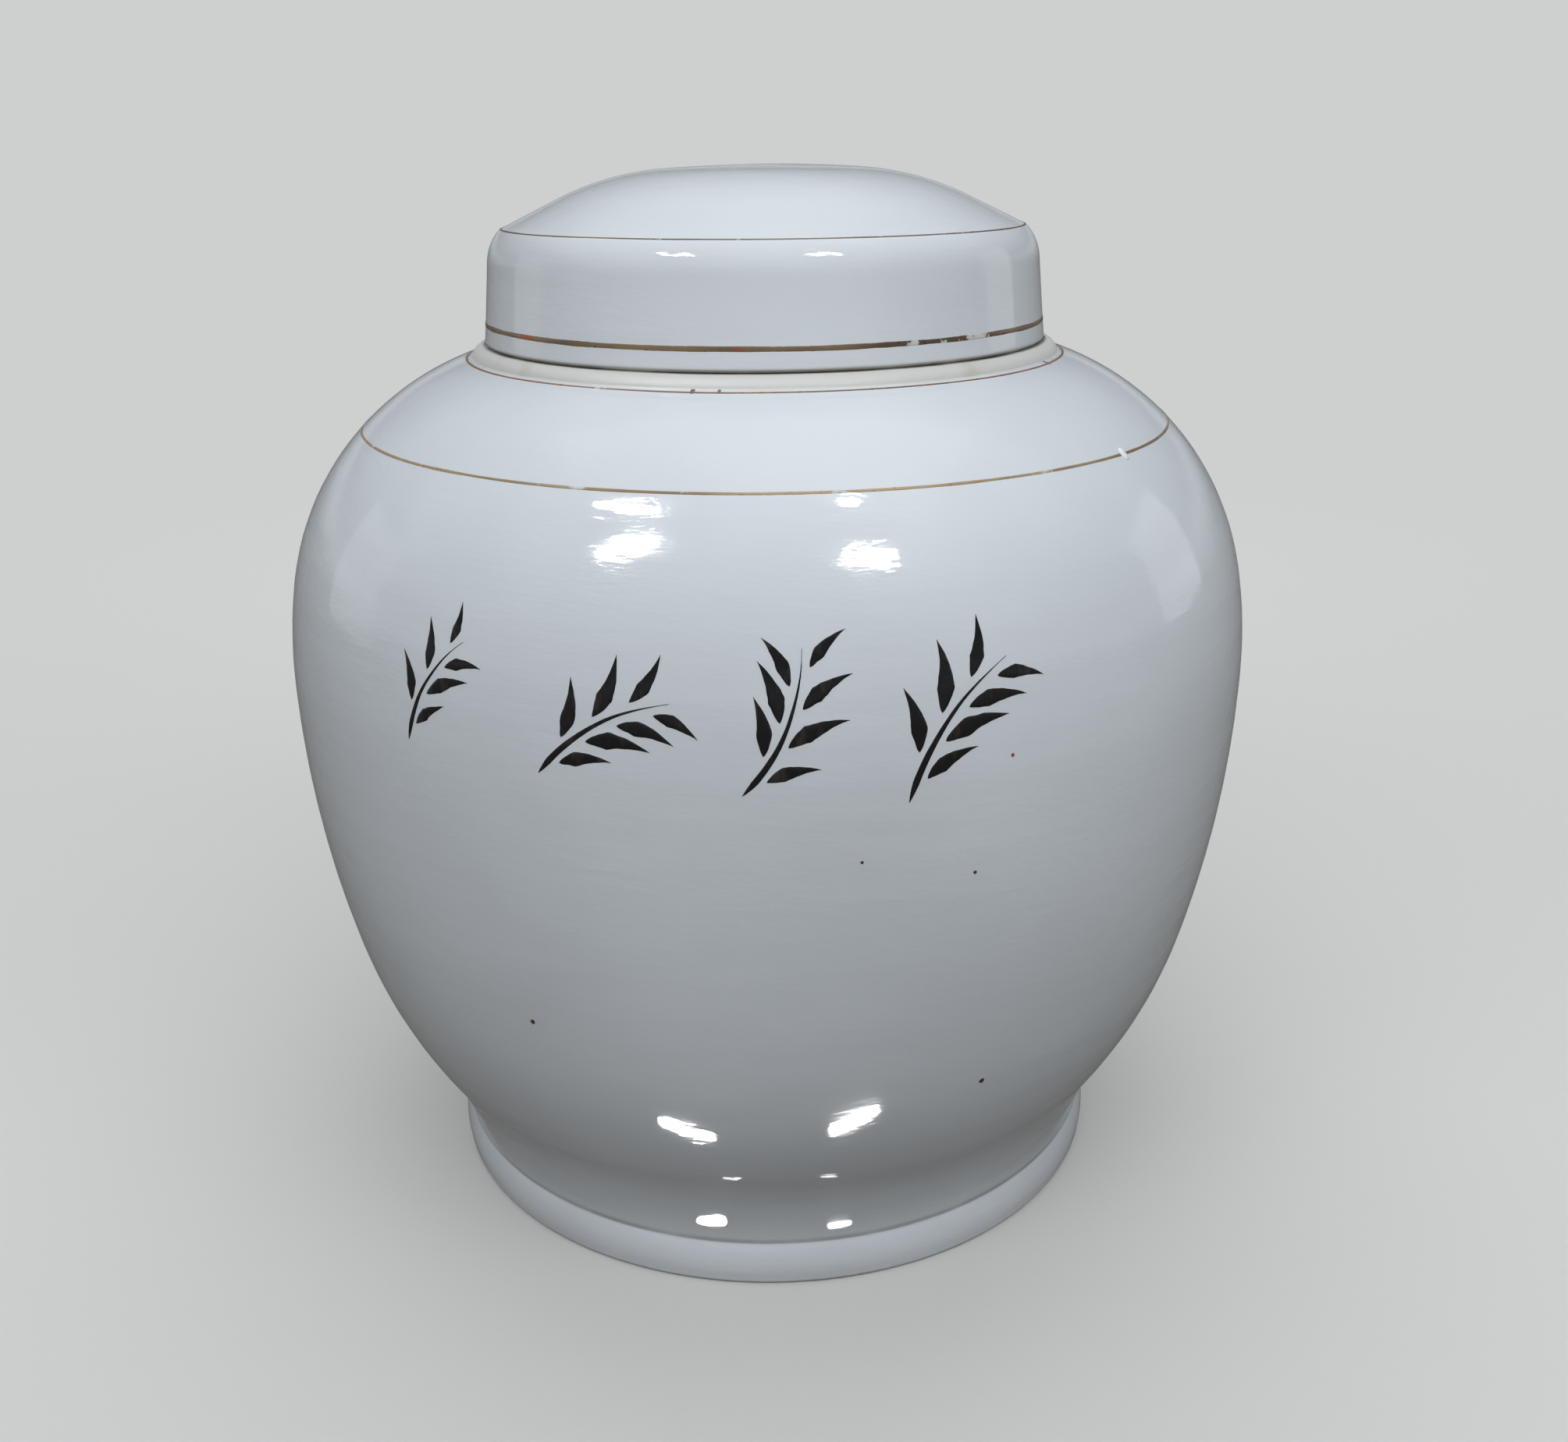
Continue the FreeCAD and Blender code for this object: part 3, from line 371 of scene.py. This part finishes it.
def add_stroke(vertices, faces, spray, foot, direction, length, width, bend, press, seed):
    """A raised brush stroke. `press` is how far along it the brush is widest, 0 to 1."""
    azimuth, height = spray
    rows, columns = 36, 7
    turn = math.radians(direction)
    ahead = Vector((math.cos(turn), math.sin(turn)))
    side = Vector((-math.sin(turn), math.cos(turn)))
    grid = []
    for layer in (STROKE_RISE, -STROKE_SINK):
        sheet = []
        for row in range(rows + 1):
            t = row / rows
            swell = (t / press) ** 0.62 if t < press else ((1 - t) / (1 - press)) ** 0.92
            ragged = 1 + 0.10 * noise.noise(Vector((t * 9, seed * 5.3, 0)))
            half = max(0.045, width / 2 * swell * ragged)
            middle = Vector(foot) + ahead * (t * length) + side * (
                bend * length * 4 * t * (1 - t)
                + 0.10 * noise.noise(Vector((t * 4, seed * 2.9, 3))))
            line = []
            for column in range(columns + 1):
                s = 2 * column / columns - 1
                p = middle + side * (half * s)
                rise = layer * (1 - abs(s) ** 4 * 0.75) if layer > 0 else layer
                line.append(len(vertices))
                vertices.append(wall_surface(p.x, height + p.y, rise, azimuth))
            sheet.append(line)
        grid.append(sheet)
    top, bottom = grid
    for row in range(rows):
        for column in range(columns):
            faces.append((top[row][column], top[row + 1][column],
                          top[row + 1][column + 1], top[row][column + 1]))
            faces.append((bottom[row][column], bottom[row][column + 1],
                          bottom[row + 1][column + 1], bottom[row + 1][column]))
        for column, flip in ((0, False), (columns, True)):
            face = (top[row][column], bottom[row][column],
                    bottom[row + 1][column], top[row + 1][column])
            faces.append(tuple(reversed(face)) if flip else face)
    for row, flip in ((0, True), (rows, False)):
        for column in range(columns):
            face = (top[row][column], bottom[row][column],
                    bottom[row][column + 1], top[row][column + 1])
            faces.append(tuple(reversed(face)) if flip else face)


def make_spray(node, azimuth, height, stem, lean, bend, leaves):
    """Stem and leaves, laid out by the same rule as the CAD node they replace."""
    vertices, faces = [], []
    spray = (azimuth, height)
    turn = math.radians(lean)

    def turned(x, y):
        return (stem * (x * math.cos(turn) - y * math.sin(turn)),
                stem * (x * math.sin(turn) + y * math.cos(turn)))

    add_stroke(vertices, faces, spray, turned(0, 0), lean, stem, STEM_WIDTH * stem, bend, 0.12,
               leaves)
    for number in range(leaves):
        along = 0.16 + 0.74 * number / (leaves - 1)
        side = 1 if number % 2 else -1
        x, y = along, 4 * bend * along * (1 - along)
        heading = math.degrees(math.atan(4 * bend * (1 - 2 * along)))
        x, y = Vector((x, y)) + LEAF_GAP * Vector(polar((0, 0), 1, heading + 90 * side))
        length = stem * LEAF_LENGTH * (1 - 0.35 * abs(along - 0.45) / 0.55)
        add_stroke(vertices, faces, spray, turned(x, y), lean + heading + LEAF_OPENING * side,
                   length, LEAF_WIDTH * length, -0.08 * side, 0.34, number + azimuth)
    return new_object(node + "_brushwork", vertices, faces)


def dome(name, places, flatness):
    """Small rounded grains or blisters on the jar's wall: (azimuth, height, radius) each."""
    vertices, faces = [], []
    rings, sides = 5, 18
    for number, (azimuth, height, size) in enumerate(places):
        first = len(vertices)
        for ring in range(rings + 1):
            tilt = math.pi / 2 * ring / rings
            for step in range(sides if ring < rings else 1):
                angle = 2 * math.pi * step / sides
                ragged = 1 + 0.22 * noise.noise(Vector((math.cos(angle), math.sin(angle),
                                                        number * 3.7)) * 1.3)
                reach = size * math.cos(tilt) * ragged
                out = size * flatness * math.sin(tilt) if ring else -STROKE_SINK
                vertices.append(wall_surface(reach * math.cos(angle),
                                             height + reach * math.sin(angle), out, azimuth))
        for ring in range(rings - 1):
            for step in range(sides):
                a = first + ring * sides
                after = (step + 1) % sides
                faces.append((a + step, a + after, a + sides + after, a + sides + step))
        last = first + (rings - 1) * sides
        tip = last + sides
        for step in range(sides):
            faces.append((last + step, last + (step + 1) % sides, tip))
        faces.append(tuple(first + step for step in reversed(range(sides))))
    return new_object(name, vertices, faces)


def disc_faces(rings, sides):
    """Faces of a round sheet whose points are its middle and then one ring after another."""
    faces = [(0, 1 + step, 1 + (step + 1) % sides) for step in range(sides)]
    for ring in range(rings - 1):
        a, b = 1 + ring * sides, 1 + (ring + 1) * sides
        for step in range(sides):
            after = (step + 1) % sides
            faces.append((a + step, b + step, b + after, a + after))
    return faces


# ---------------------------------------------------------------- materials

BLACK = (0.0, 0.0, 0.0, 1.0)
# heights and distances from the axis, in metres, over which a material changes
LEDGE_BARE, FOOT_BARE, RIM_BARE = (0.1808, 0.1812), (0.0006, 0.0012), (0.18400, 0.18450)
# the seam's and the crease's spans bound painted shade; the rim's span bounds painted shade with
# some dirt
SEAM_INNER, SEAM_OUTER, SEAM_HEIGHT = (0.0566, 0.0575), (0.0583, 0.0590), (0.1825, 0.1828)
FOOT_WEAR, RIM_DIRT_AND_SHADE = (0.0002, 0.0008), (0.18385, 0.18425)
CREASE_LOW, CREASE_HIGH = (0.0093, 0.0096), (0.0098, 0.0112)
WORN_LEFT, WORN_RIGHT = (0.020, 0.034), (0.040, 0.052)


def srgb(r, g, b):
    """A colour given in 0 to 255 as the linear values that the shaders take."""
    return tuple((c / 255 / 12.92) if c <= 10 else ((c / 255 + 0.055) / 1.055) ** 2.4
                 for c in (r, g, b)) + (1.0,)


class Tree:
    """A material's node tree with short calls for the nodes used here."""

    def __init__(self, name):
        self.material = bpy.data.materials.new(name)
        self.material.use_nodes = True
        self.nodes = self.material.node_tree.nodes
        self.links = self.material.node_tree.links
        self.shader = self.nodes["Principled BSDF"]
        coordinates = self.nodes.new("ShaderNodeTexCoord")
        self.place = coordinates.outputs["Object"]

    def add(self, kind, inputs=(), **settings):
        node = self.nodes.new(kind)
        for key, value in settings.items():
            setattr(node, key, value)
        for key, value in dict(inputs).items():
            self.feed(node.inputs[key], value)
        return node

    def feed(self, socket, value):
        if isinstance(value, bpy.types.NodeSocket):
            self.links.new(value, socket)
        else:
            socket.default_value = value

    def axes(self):
        split = self.add("ShaderNodeSeparateXYZ", {"Vector": self.place})
        return [split.outputs[axis] for axis in "XYZ"]

    def length(self, vector):
        node = self.add("ShaderNodeVectorMath", {0: vector}, operation="LENGTH")
        return node.outputs["Value"]

    def stretch(self, x, y, z):
        return self.add("ShaderNodeMapping", {"Vector": self.place, "Scale": (x, y, z)}
                        ).outputs["Vector"]

    def noise(self, scale, detail=2.0, roughness=0.5, place=None):
        node = self.add("ShaderNodeTexNoise", {
            "Vector": place or self.place, "Scale": scale, "Detail": detail,
            "Roughness": roughness})
        return node.outputs["Fac"]

    def ramp(self, value, low, high, to_low=0.0, to_high=1.0):
        node = self.add("ShaderNodeMapRange", {
            "Value": value, "From Min": low, "From Max": high, "To Min": to_low,
            "To Max": to_high}, interpolation_type="SMOOTHSTEP")
        return node.outputs["Result"]

    def math(self, operation, a, b):
        node = self.add("ShaderNodeMath", {0: a, 1: b}, operation=operation)
        return node.outputs["Value"]

    def mix(self, factor, a, b):
        node = self.add("ShaderNodeMix", data_type="RGBA")
        for index, value in ((0, factor), (6, a), (7, b)):
            self.feed(node.inputs[index], value)
        return node.outputs[2]

    def bump(self, height, strength, distance, normal=None):
        inputs = {"Height": height, "Strength": strength, "Distance": distance}
        if normal:
            inputs["Normal"] = normal
        return self.add("ShaderNodeBump", inputs).outputs["Normal"]

    def set(self, **inputs):
        for key, value in inputs.items():
            self.feed(self.shader.inputs[key.replace("_", " ")], value)


def porcelain(name, glaze, shade, bare, bare_mask, dirt_and_shade_mask):
    """Glazed porcelain. The two masks give 1 where it is bare, and where dirt has settled or
    shade is painted.
    """
    t = Tree(name)
    cloud = t.noise(14.0, 3.0)
    tint = t.mix(t.ramp(cloud, 0.35, 0.68), glaze, shade)
    # a few iron specks under the glaze, in some of the cells only
    cells = t.add("ShaderNodeTexVoronoi", {"Vector": t.place, "Scale": 62.0})
    pick = t.add("ShaderNodeSeparateColor", {"Color": cells.outputs["Color"]}).outputs["Red"]
    grain = t.math("MULTIPLY", t.ramp(cells.outputs["Distance"], 0.010, 0.022, 1.0, 0.0),
                   t.ramp(pick, 0.90, 0.91))
    tint = t.mix(t.math("MULTIPLY", grain, 0.55), tint, srgb(96, 78, 62))
    mask = bare_mask(t)
    stain = t.ramp(t.noise(70.0, 4.0, 0.6), 0.52, 0.80, 0.0, 0.50)
    body = t.mix(stain, bare, srgb(178, 166, 142))
    # one dark colour for real dirt and wear, and for painted shade in the ledge's seam, the
    # foot's crease and the lid's rim
    dirt_and_shade = t.math("MULTIPLY", dirt_and_shade_mask(t), t.ramp(t.noise(110.0, 4.0), 0.3, 0.6, 0.55, 0.95))
    t.set(Base_Color=t.mix(dirt_and_shade, t.mix(mask, tint, body), srgb(84, 80, 68)))
    smear = t.ramp(t.noise(26.0, 3.0, 0.6), 0.45, 0.75, 0.05, 0.11)
    rough = t.add("ShaderNodeMix", {0: mask, 2: smear, 3: 0.55}, data_type="FLOAT")
    t.set(Roughness=rough.outputs[0], IOR=1.5)
    peel = t.noise(230.0, 2.0, 0.5, t.stretch(1.0, 1.0, 1.7))
    drag = t.noise(60.0, 3.0, 0.55, t.stretch(0.6, 0.6, 3.2))
    grit = t.noise(820.0, 2.0, 0.5, t.stretch(0.6, 0.6, 2.4))
    t.set(Normal=t.bump(drag, 0.20, 0.0007, t.bump(peel, 0.12, 0.00035,
                                                   t.bump(grit, 0.2, 0.0001))))
    return t.material


def wavering_height(t, waver):
    """The height, off by up to half of `waver` metres either way, so that no edge is straight."""
    height = t.axes()[2]
    shift = t.math("MULTIPLY", t.math("SUBTRACT", t.noise(90.0, 2.0), 0.5), waver)
    return t.math("ADD", height, shift)


def jar_mask(t):
    """The jar is bare on and inside its ledge, and where it stands."""
    level = wavering_height(t, 0.0007)
    return t.math("MAXIMUM", t.ramp(level, *LEDGE_BARE), t.ramp(level, *FOOT_BARE, 1.0, 0.0))


def jar_wear_and_shade(t):
    """Painted shade in the seam on the ledge under the lid's edge and in the foot's crease; wear
    on the foot.
    """
    x, y, z = t.axes()
    reach = t.length(t.add("ShaderNodeCombineXYZ", {"X": x, "Y": y}).outputs["Vector"])
    # painted shade: a dark ring on the ledge in the gap under the lid's rim
    seam_shade = t.math("MULTIPLY", t.ramp(reach, *SEAM_INNER), t.ramp(reach, *SEAM_OUTER, 1.0, 0.0))
    seam_shade = t.math("MULTIPLY", seam_shade, t.ramp(z, *SEAM_HEIGHT))
    foot = t.math("MULTIPLY", t.ramp(z, *FOOT_WEAR, 0.5, 0.0),
                  t.ramp(t.noise(60.0, 4.0), 0.45, 0.65))
    # painted shade: a dark band in the crease just above the foot ring
    crease = t.math("MULTIPLY", t.ramp(z, *CREASE_LOW, 0.0, 0.42),
                    t.ramp(z, *CREASE_HIGH, 1.0, 0.0))
    return t.math("MAXIMUM", t.math("MAXIMUM", seam_shade, foot), crease)


def lid_mask(t):
    """The lid is bare on its rim."""
    return t.ramp(wavering_height(t, 0.0006), *RIM_BARE, 1.0, 0.0)


def lid_dirt_and_shade(t):
    """The rim's lower edge is darkened: painted shade of the seam where it rests on the ledge,
    with some dirt.
    """
    return t.ramp(t.axes()[2], *RIM_DIRT_AND_SHADE, 0.38, 0.0)


def gilding(name, bright, dark, wear, side_wear=0.0):
    """Fired gold, tarnished in stretches and worn through to the glaze in places.

    side_wear is how much more is gone on the front's right side.
    """
    t = Tree(name)
    tone = t.mix(t.ramp(t.noise(28.0, 3.0), 0.40, 0.62), bright, dark)
    # orange patches: painted warm reflections in the gold
    tone = t.mix(t.ramp(t.noise(95.0, 2.0), 0.66, 0.72, 0.0, 0.8), tone, srgb(176, 98, 62))
    x = t.axes()[0]
    side = t.math("MULTIPLY", t.ramp(x, *WORN_LEFT, 0.0, side_wear),
                  t.ramp(x, *WORN_RIGHT, 1.0, 0.0))
    gone = t.ramp(t.math("ADD", t.noise(150.0, 4.0, 0.65), side), wear, wear + 0.05)
    t.set(Base_Color=t.mix(gone, tone, srgb(206, 206, 200)),
          Metallic=t.math("SUBTRACT", 0.4, t.math("MULTIPLY", gone, 0.4)),
          Roughness=t.ramp(t.noise(300.0, 2.0), 0.3, 0.7, 0.26, 0.42),
          Normal=t.bump(t.noise(900.0, 2.0), 0.25, 0.00008))
    return t.material


def brush_enamel():
    """Black enamel laid on with a brush: streaked, a little browner where it is thin."""
    t = Tree("brush_enamel")
    streak = t.noise(520.0, 3.0, 0.6, t.stretch(1.0, 1.0, 0.35))
    tone = t.mix(t.ramp(streak, 0.52, 0.74), srgb(22, 21, 22), srgb(52, 47, 43))
    t.set(Base_Color=tone, Roughness=t.ramp(streak, 0.3, 0.7, 0.16, 0.34), IOR=1.5,
          Normal=t.bump(streak, 0.22, 0.00006))
    return t.material


def plain(name, base, other, scale, roughness):
    """A small part's mottled colour."""
    t = Tree(name)
    t.set(Base_Color=t.mix(t.ramp(t.noise(scale, 3.0), 0.4, 0.65), base, other),
          Roughness=roughness, Normal=t.bump(t.noise(scale * 2, 2.0), 0.15, 0.00005))
    return t.material


# ---------------------------------------------------------------- the object

def finish_piece(piece, material, body, slot, *nodes):
    """Gives a piece its material and body, and hides the CAD nodes that it replaces; slot is not
    used.
    """
    piece.data.materials.append(material)
    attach(piece, body)
    if nodes:
        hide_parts(*nodes)


glaze_jar = porcelain("jar_porcelain", srgb(222, 227, 232), srgb(214, 219, 224),
                      srgb(208, 208, 204), jar_mask, jar_wear_and_shade)
glaze_lid = porcelain("lid_porcelain", srgb(223, 228, 232), srgb(215, 220, 224),
                      srgb(207, 206, 200), lid_mask, lid_dirt_and_shade)
enamel = brush_enamel()

finish_piece(lathe("jar_thrown_body", jar_profile(), jar_wobble),
             glaze_jar, "jar", "jar_glaze", "jar_body")
finish_piece(lathe("lid_thrown_cap", lid_profile(), lid_wobble),
             glaze_lid, "lid_piece", "lid_glaze", "lid")


def shoulder_place(angle):
    """Section places beside a line on the shoulder's arc."""
    centre = wall_centres()[4]
    return lambda along, out: polar(centre, SHOULDER_ARC + out,
                                    angle + math.degrees(along / SHOULDER_ARC))


def skirt_place(along, out):
    """Section places beside the line round the lid's skirt."""
    return skirt_point(4.3 + along, out)


def crown_place(along, out):
    """Section places beside the line on the crown's edge."""
    start = polar((EDGE_RADIUS, EDGE_HEIGHT), 0.35 + along, 180 - CROWN_SLOPE)
    return polar(start, out, 90 - CROWN_SLOPE)


finish_piece(
    ring_band("gilt_on_crown_edge", crown_place, 0.22, lid_wobble, 1),
    gilding("gilt_crown", srgb(160, 134, 108), srgb(118, 96, 78), 0.64),
    "lid_piece", "gilt", "crown_gilt_line")
finish_piece(
    ring_band("gilt_on_skirt", skirt_place, 0.46, lid_wobble, 2),
    gilding("gilt_skirt", srgb(158, 134, 106), srgb(106, 88, 72), 0.66, 0.16),
    "lid_piece", "gilt", "skirt_gilt_line")
finish_piece(
    ring_band("gilt_below_ledge", shoulder_place(NECK_LINE), 0.26, jar_wobble, 3),
    gilding("gilt_neck", srgb(174, 128, 94), srgb(134, 98, 74), 0.64),
    "jar", "gilt", "neck_gilt_line")
finish_piece(
    ring_band("gilt_round_shoulder", shoulder_place(SHOULDER_LINE), 0.27, jar_wobble, 4),
    gilding("gilt_shoulder", srgb(192, 166, 130), srgb(146, 122, 94), 0.62),
    "jar", "gilt", "shoulder_gilt_line")
for node, sizes in SPRAYS.items():
    finish_piece(make_spray(node, *sizes), enamel, "jar", "enamel", node)

finish_piece(
    dome("kiln_grit", [(-26.9, 70.3, 0.50), (8.5, 108.2, 0.30), (20.0, 103.6, 0.36),
                       (24.5, 55.1, 0.55), (141.0, 96.0, 0.45), (-122.0, 62.0, 0.40),
                       (171.0, 131.0, 0.35)], 0.25),
    plain("grit_brown", srgb(84, 66, 52), srgb(50, 40, 34), 900.0, 0.45),
    "jar", "enamel")
finish_piece(
    dome("ledge_chips", [(-12.0, 180.9, 0.42), (-7.6, 180.9, 0.34), (63.0, 180.9, 0.40),
                         (-148.0, 180.9, 0.38)], 0.2),
    plain("chip_grey", srgb(128, 124, 120), srgb(88, 84, 82), 700.0, 0.6),
    "jar", "jar_glaze")
finish_piece(
    dome("rust_dot", [(23.6, 124.3, 0.35)], 0.2),
    plain("rust_red", srgb(148, 84, 58), srgb(120, 66, 46), 900.0, 0.3),
    "jar", "gilt")
finish_piece(
    dome("glaze_blister", [(51.2, 167.4, 0.95)], 0.35),
    plain("blister_glaze", srgb(240, 242, 244), srgb(222, 225, 228), 600.0, 0.30),
    "jar", "jar_glaze")


# ---------------------------------------------------------------- stage, light and camera

BACKDROP = srgb(206, 207, 207)
FLOOR_REACH, BACKDROP_REACH = 14000.0, 13900.0  # millimetres
FADE_FROM, FADE_TO = 0.12, 0.85                 # the floor takes the backdrop's colour, metres
# the world's brightness from straight down (0) over the horizon (0.5) to straight up (1)
WORLD_STOPS = ((0.0, 0.115), (0.48, 0.14), (0.51, 0.28), (0.54, 0.46), (0.58, 0.16),
               (0.75, 0.20), (0.92, 0.60))
LAMP_COLOUR = (0.95, 0.98, 1.0)
CAMERA_PLACE = Vector((0.0, -0.3431, 0.22245))
CAMERA_PITCH, CAMERA_ROLL, CAMERA_YAW = 20.15, -0.58, 0.54
SENSOR_WIDTH, FOCAL_LENGTH = 36.0, 36.43


def make_floor():
    """A large plain pale floor."""
    rings, sides = 24, 96
    vertices = [(0.0, 0.0, 0.0)]
    for ring in range(1, rings + 1):
        radius = FLOOR_REACH * (ring / rings) ** 3
        for step in range(sides):
            angle = 2 * math.pi * step / sides
            vertices.append((radius * math.cos(angle), radius * math.sin(angle), 0.0))
    floor = new_object("floor", vertices, disc_faces(rings, sides))
    t = Tree("pale_floor")
    near = t.mix(t.noise(3.0, 4.0), srgb(212, 211, 208), srgb(217, 216, 213))
    far = t.ramp(t.length(t.place), FADE_FROM, FADE_TO)
    t.set(Base_Color=t.mix(far, near, BLACK), Roughness=0.75, Specular_IOR_Level=0.0,
          Emission_Color=t.mix(far, BLACK, BACKDROP), Emission_Strength=1.0,
          Normal=t.bump(t.noise(220.0, 4.0), 0.08, 0.0005))
    floor.data.materials.append(t.material)
    hide_from_light(floor)


def make_backdrop():
    """A plain dome behind everything, in the colour that the floor fades to."""
    rings, sides, reach = 24, 48, BACKDROP_REACH
    vertices = [(0.0, 0.0, reach)]
    for ring in range(1, rings + 1):
        tilt = math.radians(94) * ring / rings      # ends a little below the floor
        for step in range(sides):
            angle = 2 * math.pi * step / sides
            vertices.append((reach * math.sin(tilt) * math.cos(angle),
                             reach * math.sin(tilt) * math.sin(angle), reach * math.cos(tilt)))
    backdrop = new_object("backdrop", vertices, disc_faces(rings, sides))
    t = Tree("pale_backdrop")
    t.set(Base_Color=BLACK, Specular_IOR_Level=0.0, Emission_Color=BACKDROP,
          Emission_Strength=1.0)
    backdrop.data.materials.append(t.material)
    hide_from_light(backdrop)


def hide_from_light(stage):
    """Keeps the stage from lighting or mirroring in the glaze."""
    stage.visible_diffuse = False
    stage.visible_glossy = False
    stage.visible_shadow = False


def make_world():
    """Dim below, a pale horizon, a dimmer band above it and a bright ceiling."""
    world = bpy.data.worlds.new("soft_room")
    world.use_nodes = True
    nodes, links = world.node_tree.nodes, world.node_tree.links
    place = nodes.new("ShaderNodeTexCoord")
    split = nodes.new("ShaderNodeSeparateXYZ")
    ramp = nodes.new("ShaderNodeValToRGB")
    while len(ramp.color_ramp.elements) < len(WORLD_STOPS):
        ramp.color_ramp.elements.new(0.5)
    for element, (position, level) in zip(ramp.color_ramp.elements, WORLD_STOPS):
        element.position = position
        warmth = 0.045 if position < 0.5 else -0.035
        element.color = (level * (1 + warmth), level, level * (1 - warmth * 1.4), 1)
    links.new(place.outputs["Generated"], split.inputs[0])
    half = nodes.new("ShaderNodeMapRange")
    half.inputs["From Min"].default_value = -1.0
    links.new(split.outputs["Z"], half.inputs["Value"])
    links.new(half.outputs["Result"], ramp.inputs[0])
    links.new(ramp.outputs[0], nodes["Background"].inputs["Color"])
    bpy.context.scene.world = world


def area_light(name, place, target, size, power, diffuse=True, gloss=True, tilt=0.0,
               spread=180.0):
    """A lamp that looks at `target`, turned by `tilt` in its own plane."""
    light = bpy.data.lights.new(name, "AREA")
    light.shape = "RECTANGLE"
    light.size, light.size_y = size
    light.energy = power
    light.spread = math.radians(spread)
    light.color = LAMP_COLOUR
    lamp = bpy.data.objects.new(name, light)
    bpy.context.scene.collection.objects.link(lamp)
    lamp.location = place
    away = (lamp.location - Vector(target)).normalized()
    across = Vector((0, 0, 1)).cross(away).normalized()
    facing = Matrix((across, away.cross(across), away)).transposed()
    lamp.rotation_euler = (facing @ Matrix.Rotation(math.radians(tilt), 3, "Z")).to_euler()
    lamp.visible_camera = False
    lamp.visible_diffuse = diffuse
    lamp.visible_glossy = gloss
    return lamp


# group lit, azimuth and height of the mirrored place on the wall, then the lamp's distance,
# width and height in metres, its strength, its turn in its own plane and its spread
GLINTS = (
    ("jar_only", -15.3, 165.2, 1.0, 0.23, 0.07, 90, 36, 180),
    ("jar_only", -14.9, 159.6, 1.0, 0.26, 0.12, 90, 66, 180),
    ("jar_only", 9.2, 165.8, 1.0, 0.090, 0.045, 90, -4, 180),
    ("jar_only", 10.4, 158.1, 1.0, 0.22, 0.095, 90, -20, 180),
    ("lid_only", -15.3, 160.2, 1.0, 0.26, 0.036, 90, 0, 180),
    ("lid_only", 10.1, 158.8, 1.0, 0.22, 0.045, 90, 0, 180),
    ("jar_only", -10.4, 48.2, 0.030, 0.0158, 0.0026, 40, -54, 60),
    ("jar_only", 9.3, 50.6, 0.030, 0.0150, 0.0027, 40, 54, 60),
    ("jar_only", -10.0, 15.4, 0.004, 0.0066, 0.0014, 24, -30, 90),
    ("jar_only", 9.8, 13.9, 0.004, 0.0052, 0.0007, 24, 28, 90),
    ("jar_only", -5.8, 32.6, 0.006, 0.0040, 0.0004, 2.2, 45, 90),
    ("jar_only", 7.0, 32.6, 0.006, 0.0036, 0.0004, 2.2, -50, 90),
)


def glint(name, group, azimuth, height, distance, width, tall, strength, tilt, spread):
    """A small lamp placed so that the camera sees it mirrored at a place on the wall."""
    point = Vector(wall_surface(0, height, 0, azimuth)) * MM
    outer = Vector(wall_surface(0, height, 10, azimuth)) * MM
    normal = (outer - point).normalized()
    look = (CAMERA_PLACE - point).normalized()
    mirrored = 2 * normal.dot(look) * normal - look
    power = strength * math.pi * width * tall
    lamp = area_light(name, point + mirrored * distance, point, (width, tall), power,
                      diffuse=False, tilt=tilt, spread=spread)
    lamp.data.shape = "ELLIPSE"
    lamp.light_linking.receiver_collection = only[group]


def make_camera():
    """The camera, looking down at the jar from the front."""
    camera = bpy.data.objects.new("camera", bpy.data.cameras.new("camera"))
    bpy.context.scene.collection.objects.link(camera)
    camera.data.sensor_width = SENSOR_WIDTH
    camera.data.lens = FOCAL_LENGTH
    camera.data.clip_start, camera.data.clip_end = 0.01, 100.0
    pitch, roll, yaw = (math.radians(a) for a in (CAMERA_PITCH, CAMERA_ROLL, CAMERA_YAW))
    ahead = Vector((math.sin(yaw) * math.cos(pitch), math.cos(yaw) * math.cos(pitch),
                    -math.sin(pitch)))
    level = ahead.cross(Vector((0, 0, 1))).normalized()
    upright = level.cross(ahead)
    right = level * math.cos(roll) + upright * math.sin(roll)
    up = upright * math.cos(roll) - level * math.sin(roll)
    camera.matrix_world = Matrix.Translation(CAMERA_PLACE) @ Matrix(
        (right, up, -ahead)).transposed().to_4x4()
    bpy.context.scene.camera = camera


make_floor()
make_backdrop()
make_world()
area_light("key_soft", (0.05, -0.62, 0.72), (0, 0, 0.13), (1.90, 0.50), 6.3, gloss=False)
area_light("ceiling_soft", (0.0, 0.1, 1.6), (0, 0, 0.1), (1.6, 1.2), 2.1)
area_light("back_soft", (0.0, 0.80, 0.50), (0, 0, 0.13), (1.60, 0.60), 4.2, gloss=False)
area_light("side_panel_right", (1.1, 0.35, 0.35), (0, 0, 0.13), (0.40, 0.5), 0.40,
           diffuse=False)
area_light("side_panel_left", (-1.1, 0.35, 0.30), (0, 0, 0.13), (0.40, 0.5), 0.26,
           diffuse=False)
only = {}                                       # the one piece that each group of glints lights
for group, piece in (("jar_only", "jar_thrown_body"), ("lid_only", "lid_thrown_cap")):
    only[group] = bpy.data.collections.new(group)
    only[group].objects.link(bpy.data.objects[piece])
for number, sizes in enumerate(GLINTS):
    glint("glint_%d" % number, *sizes)
make_camera()
bpy.context.scene.view_settings.view_transform = "Standard"
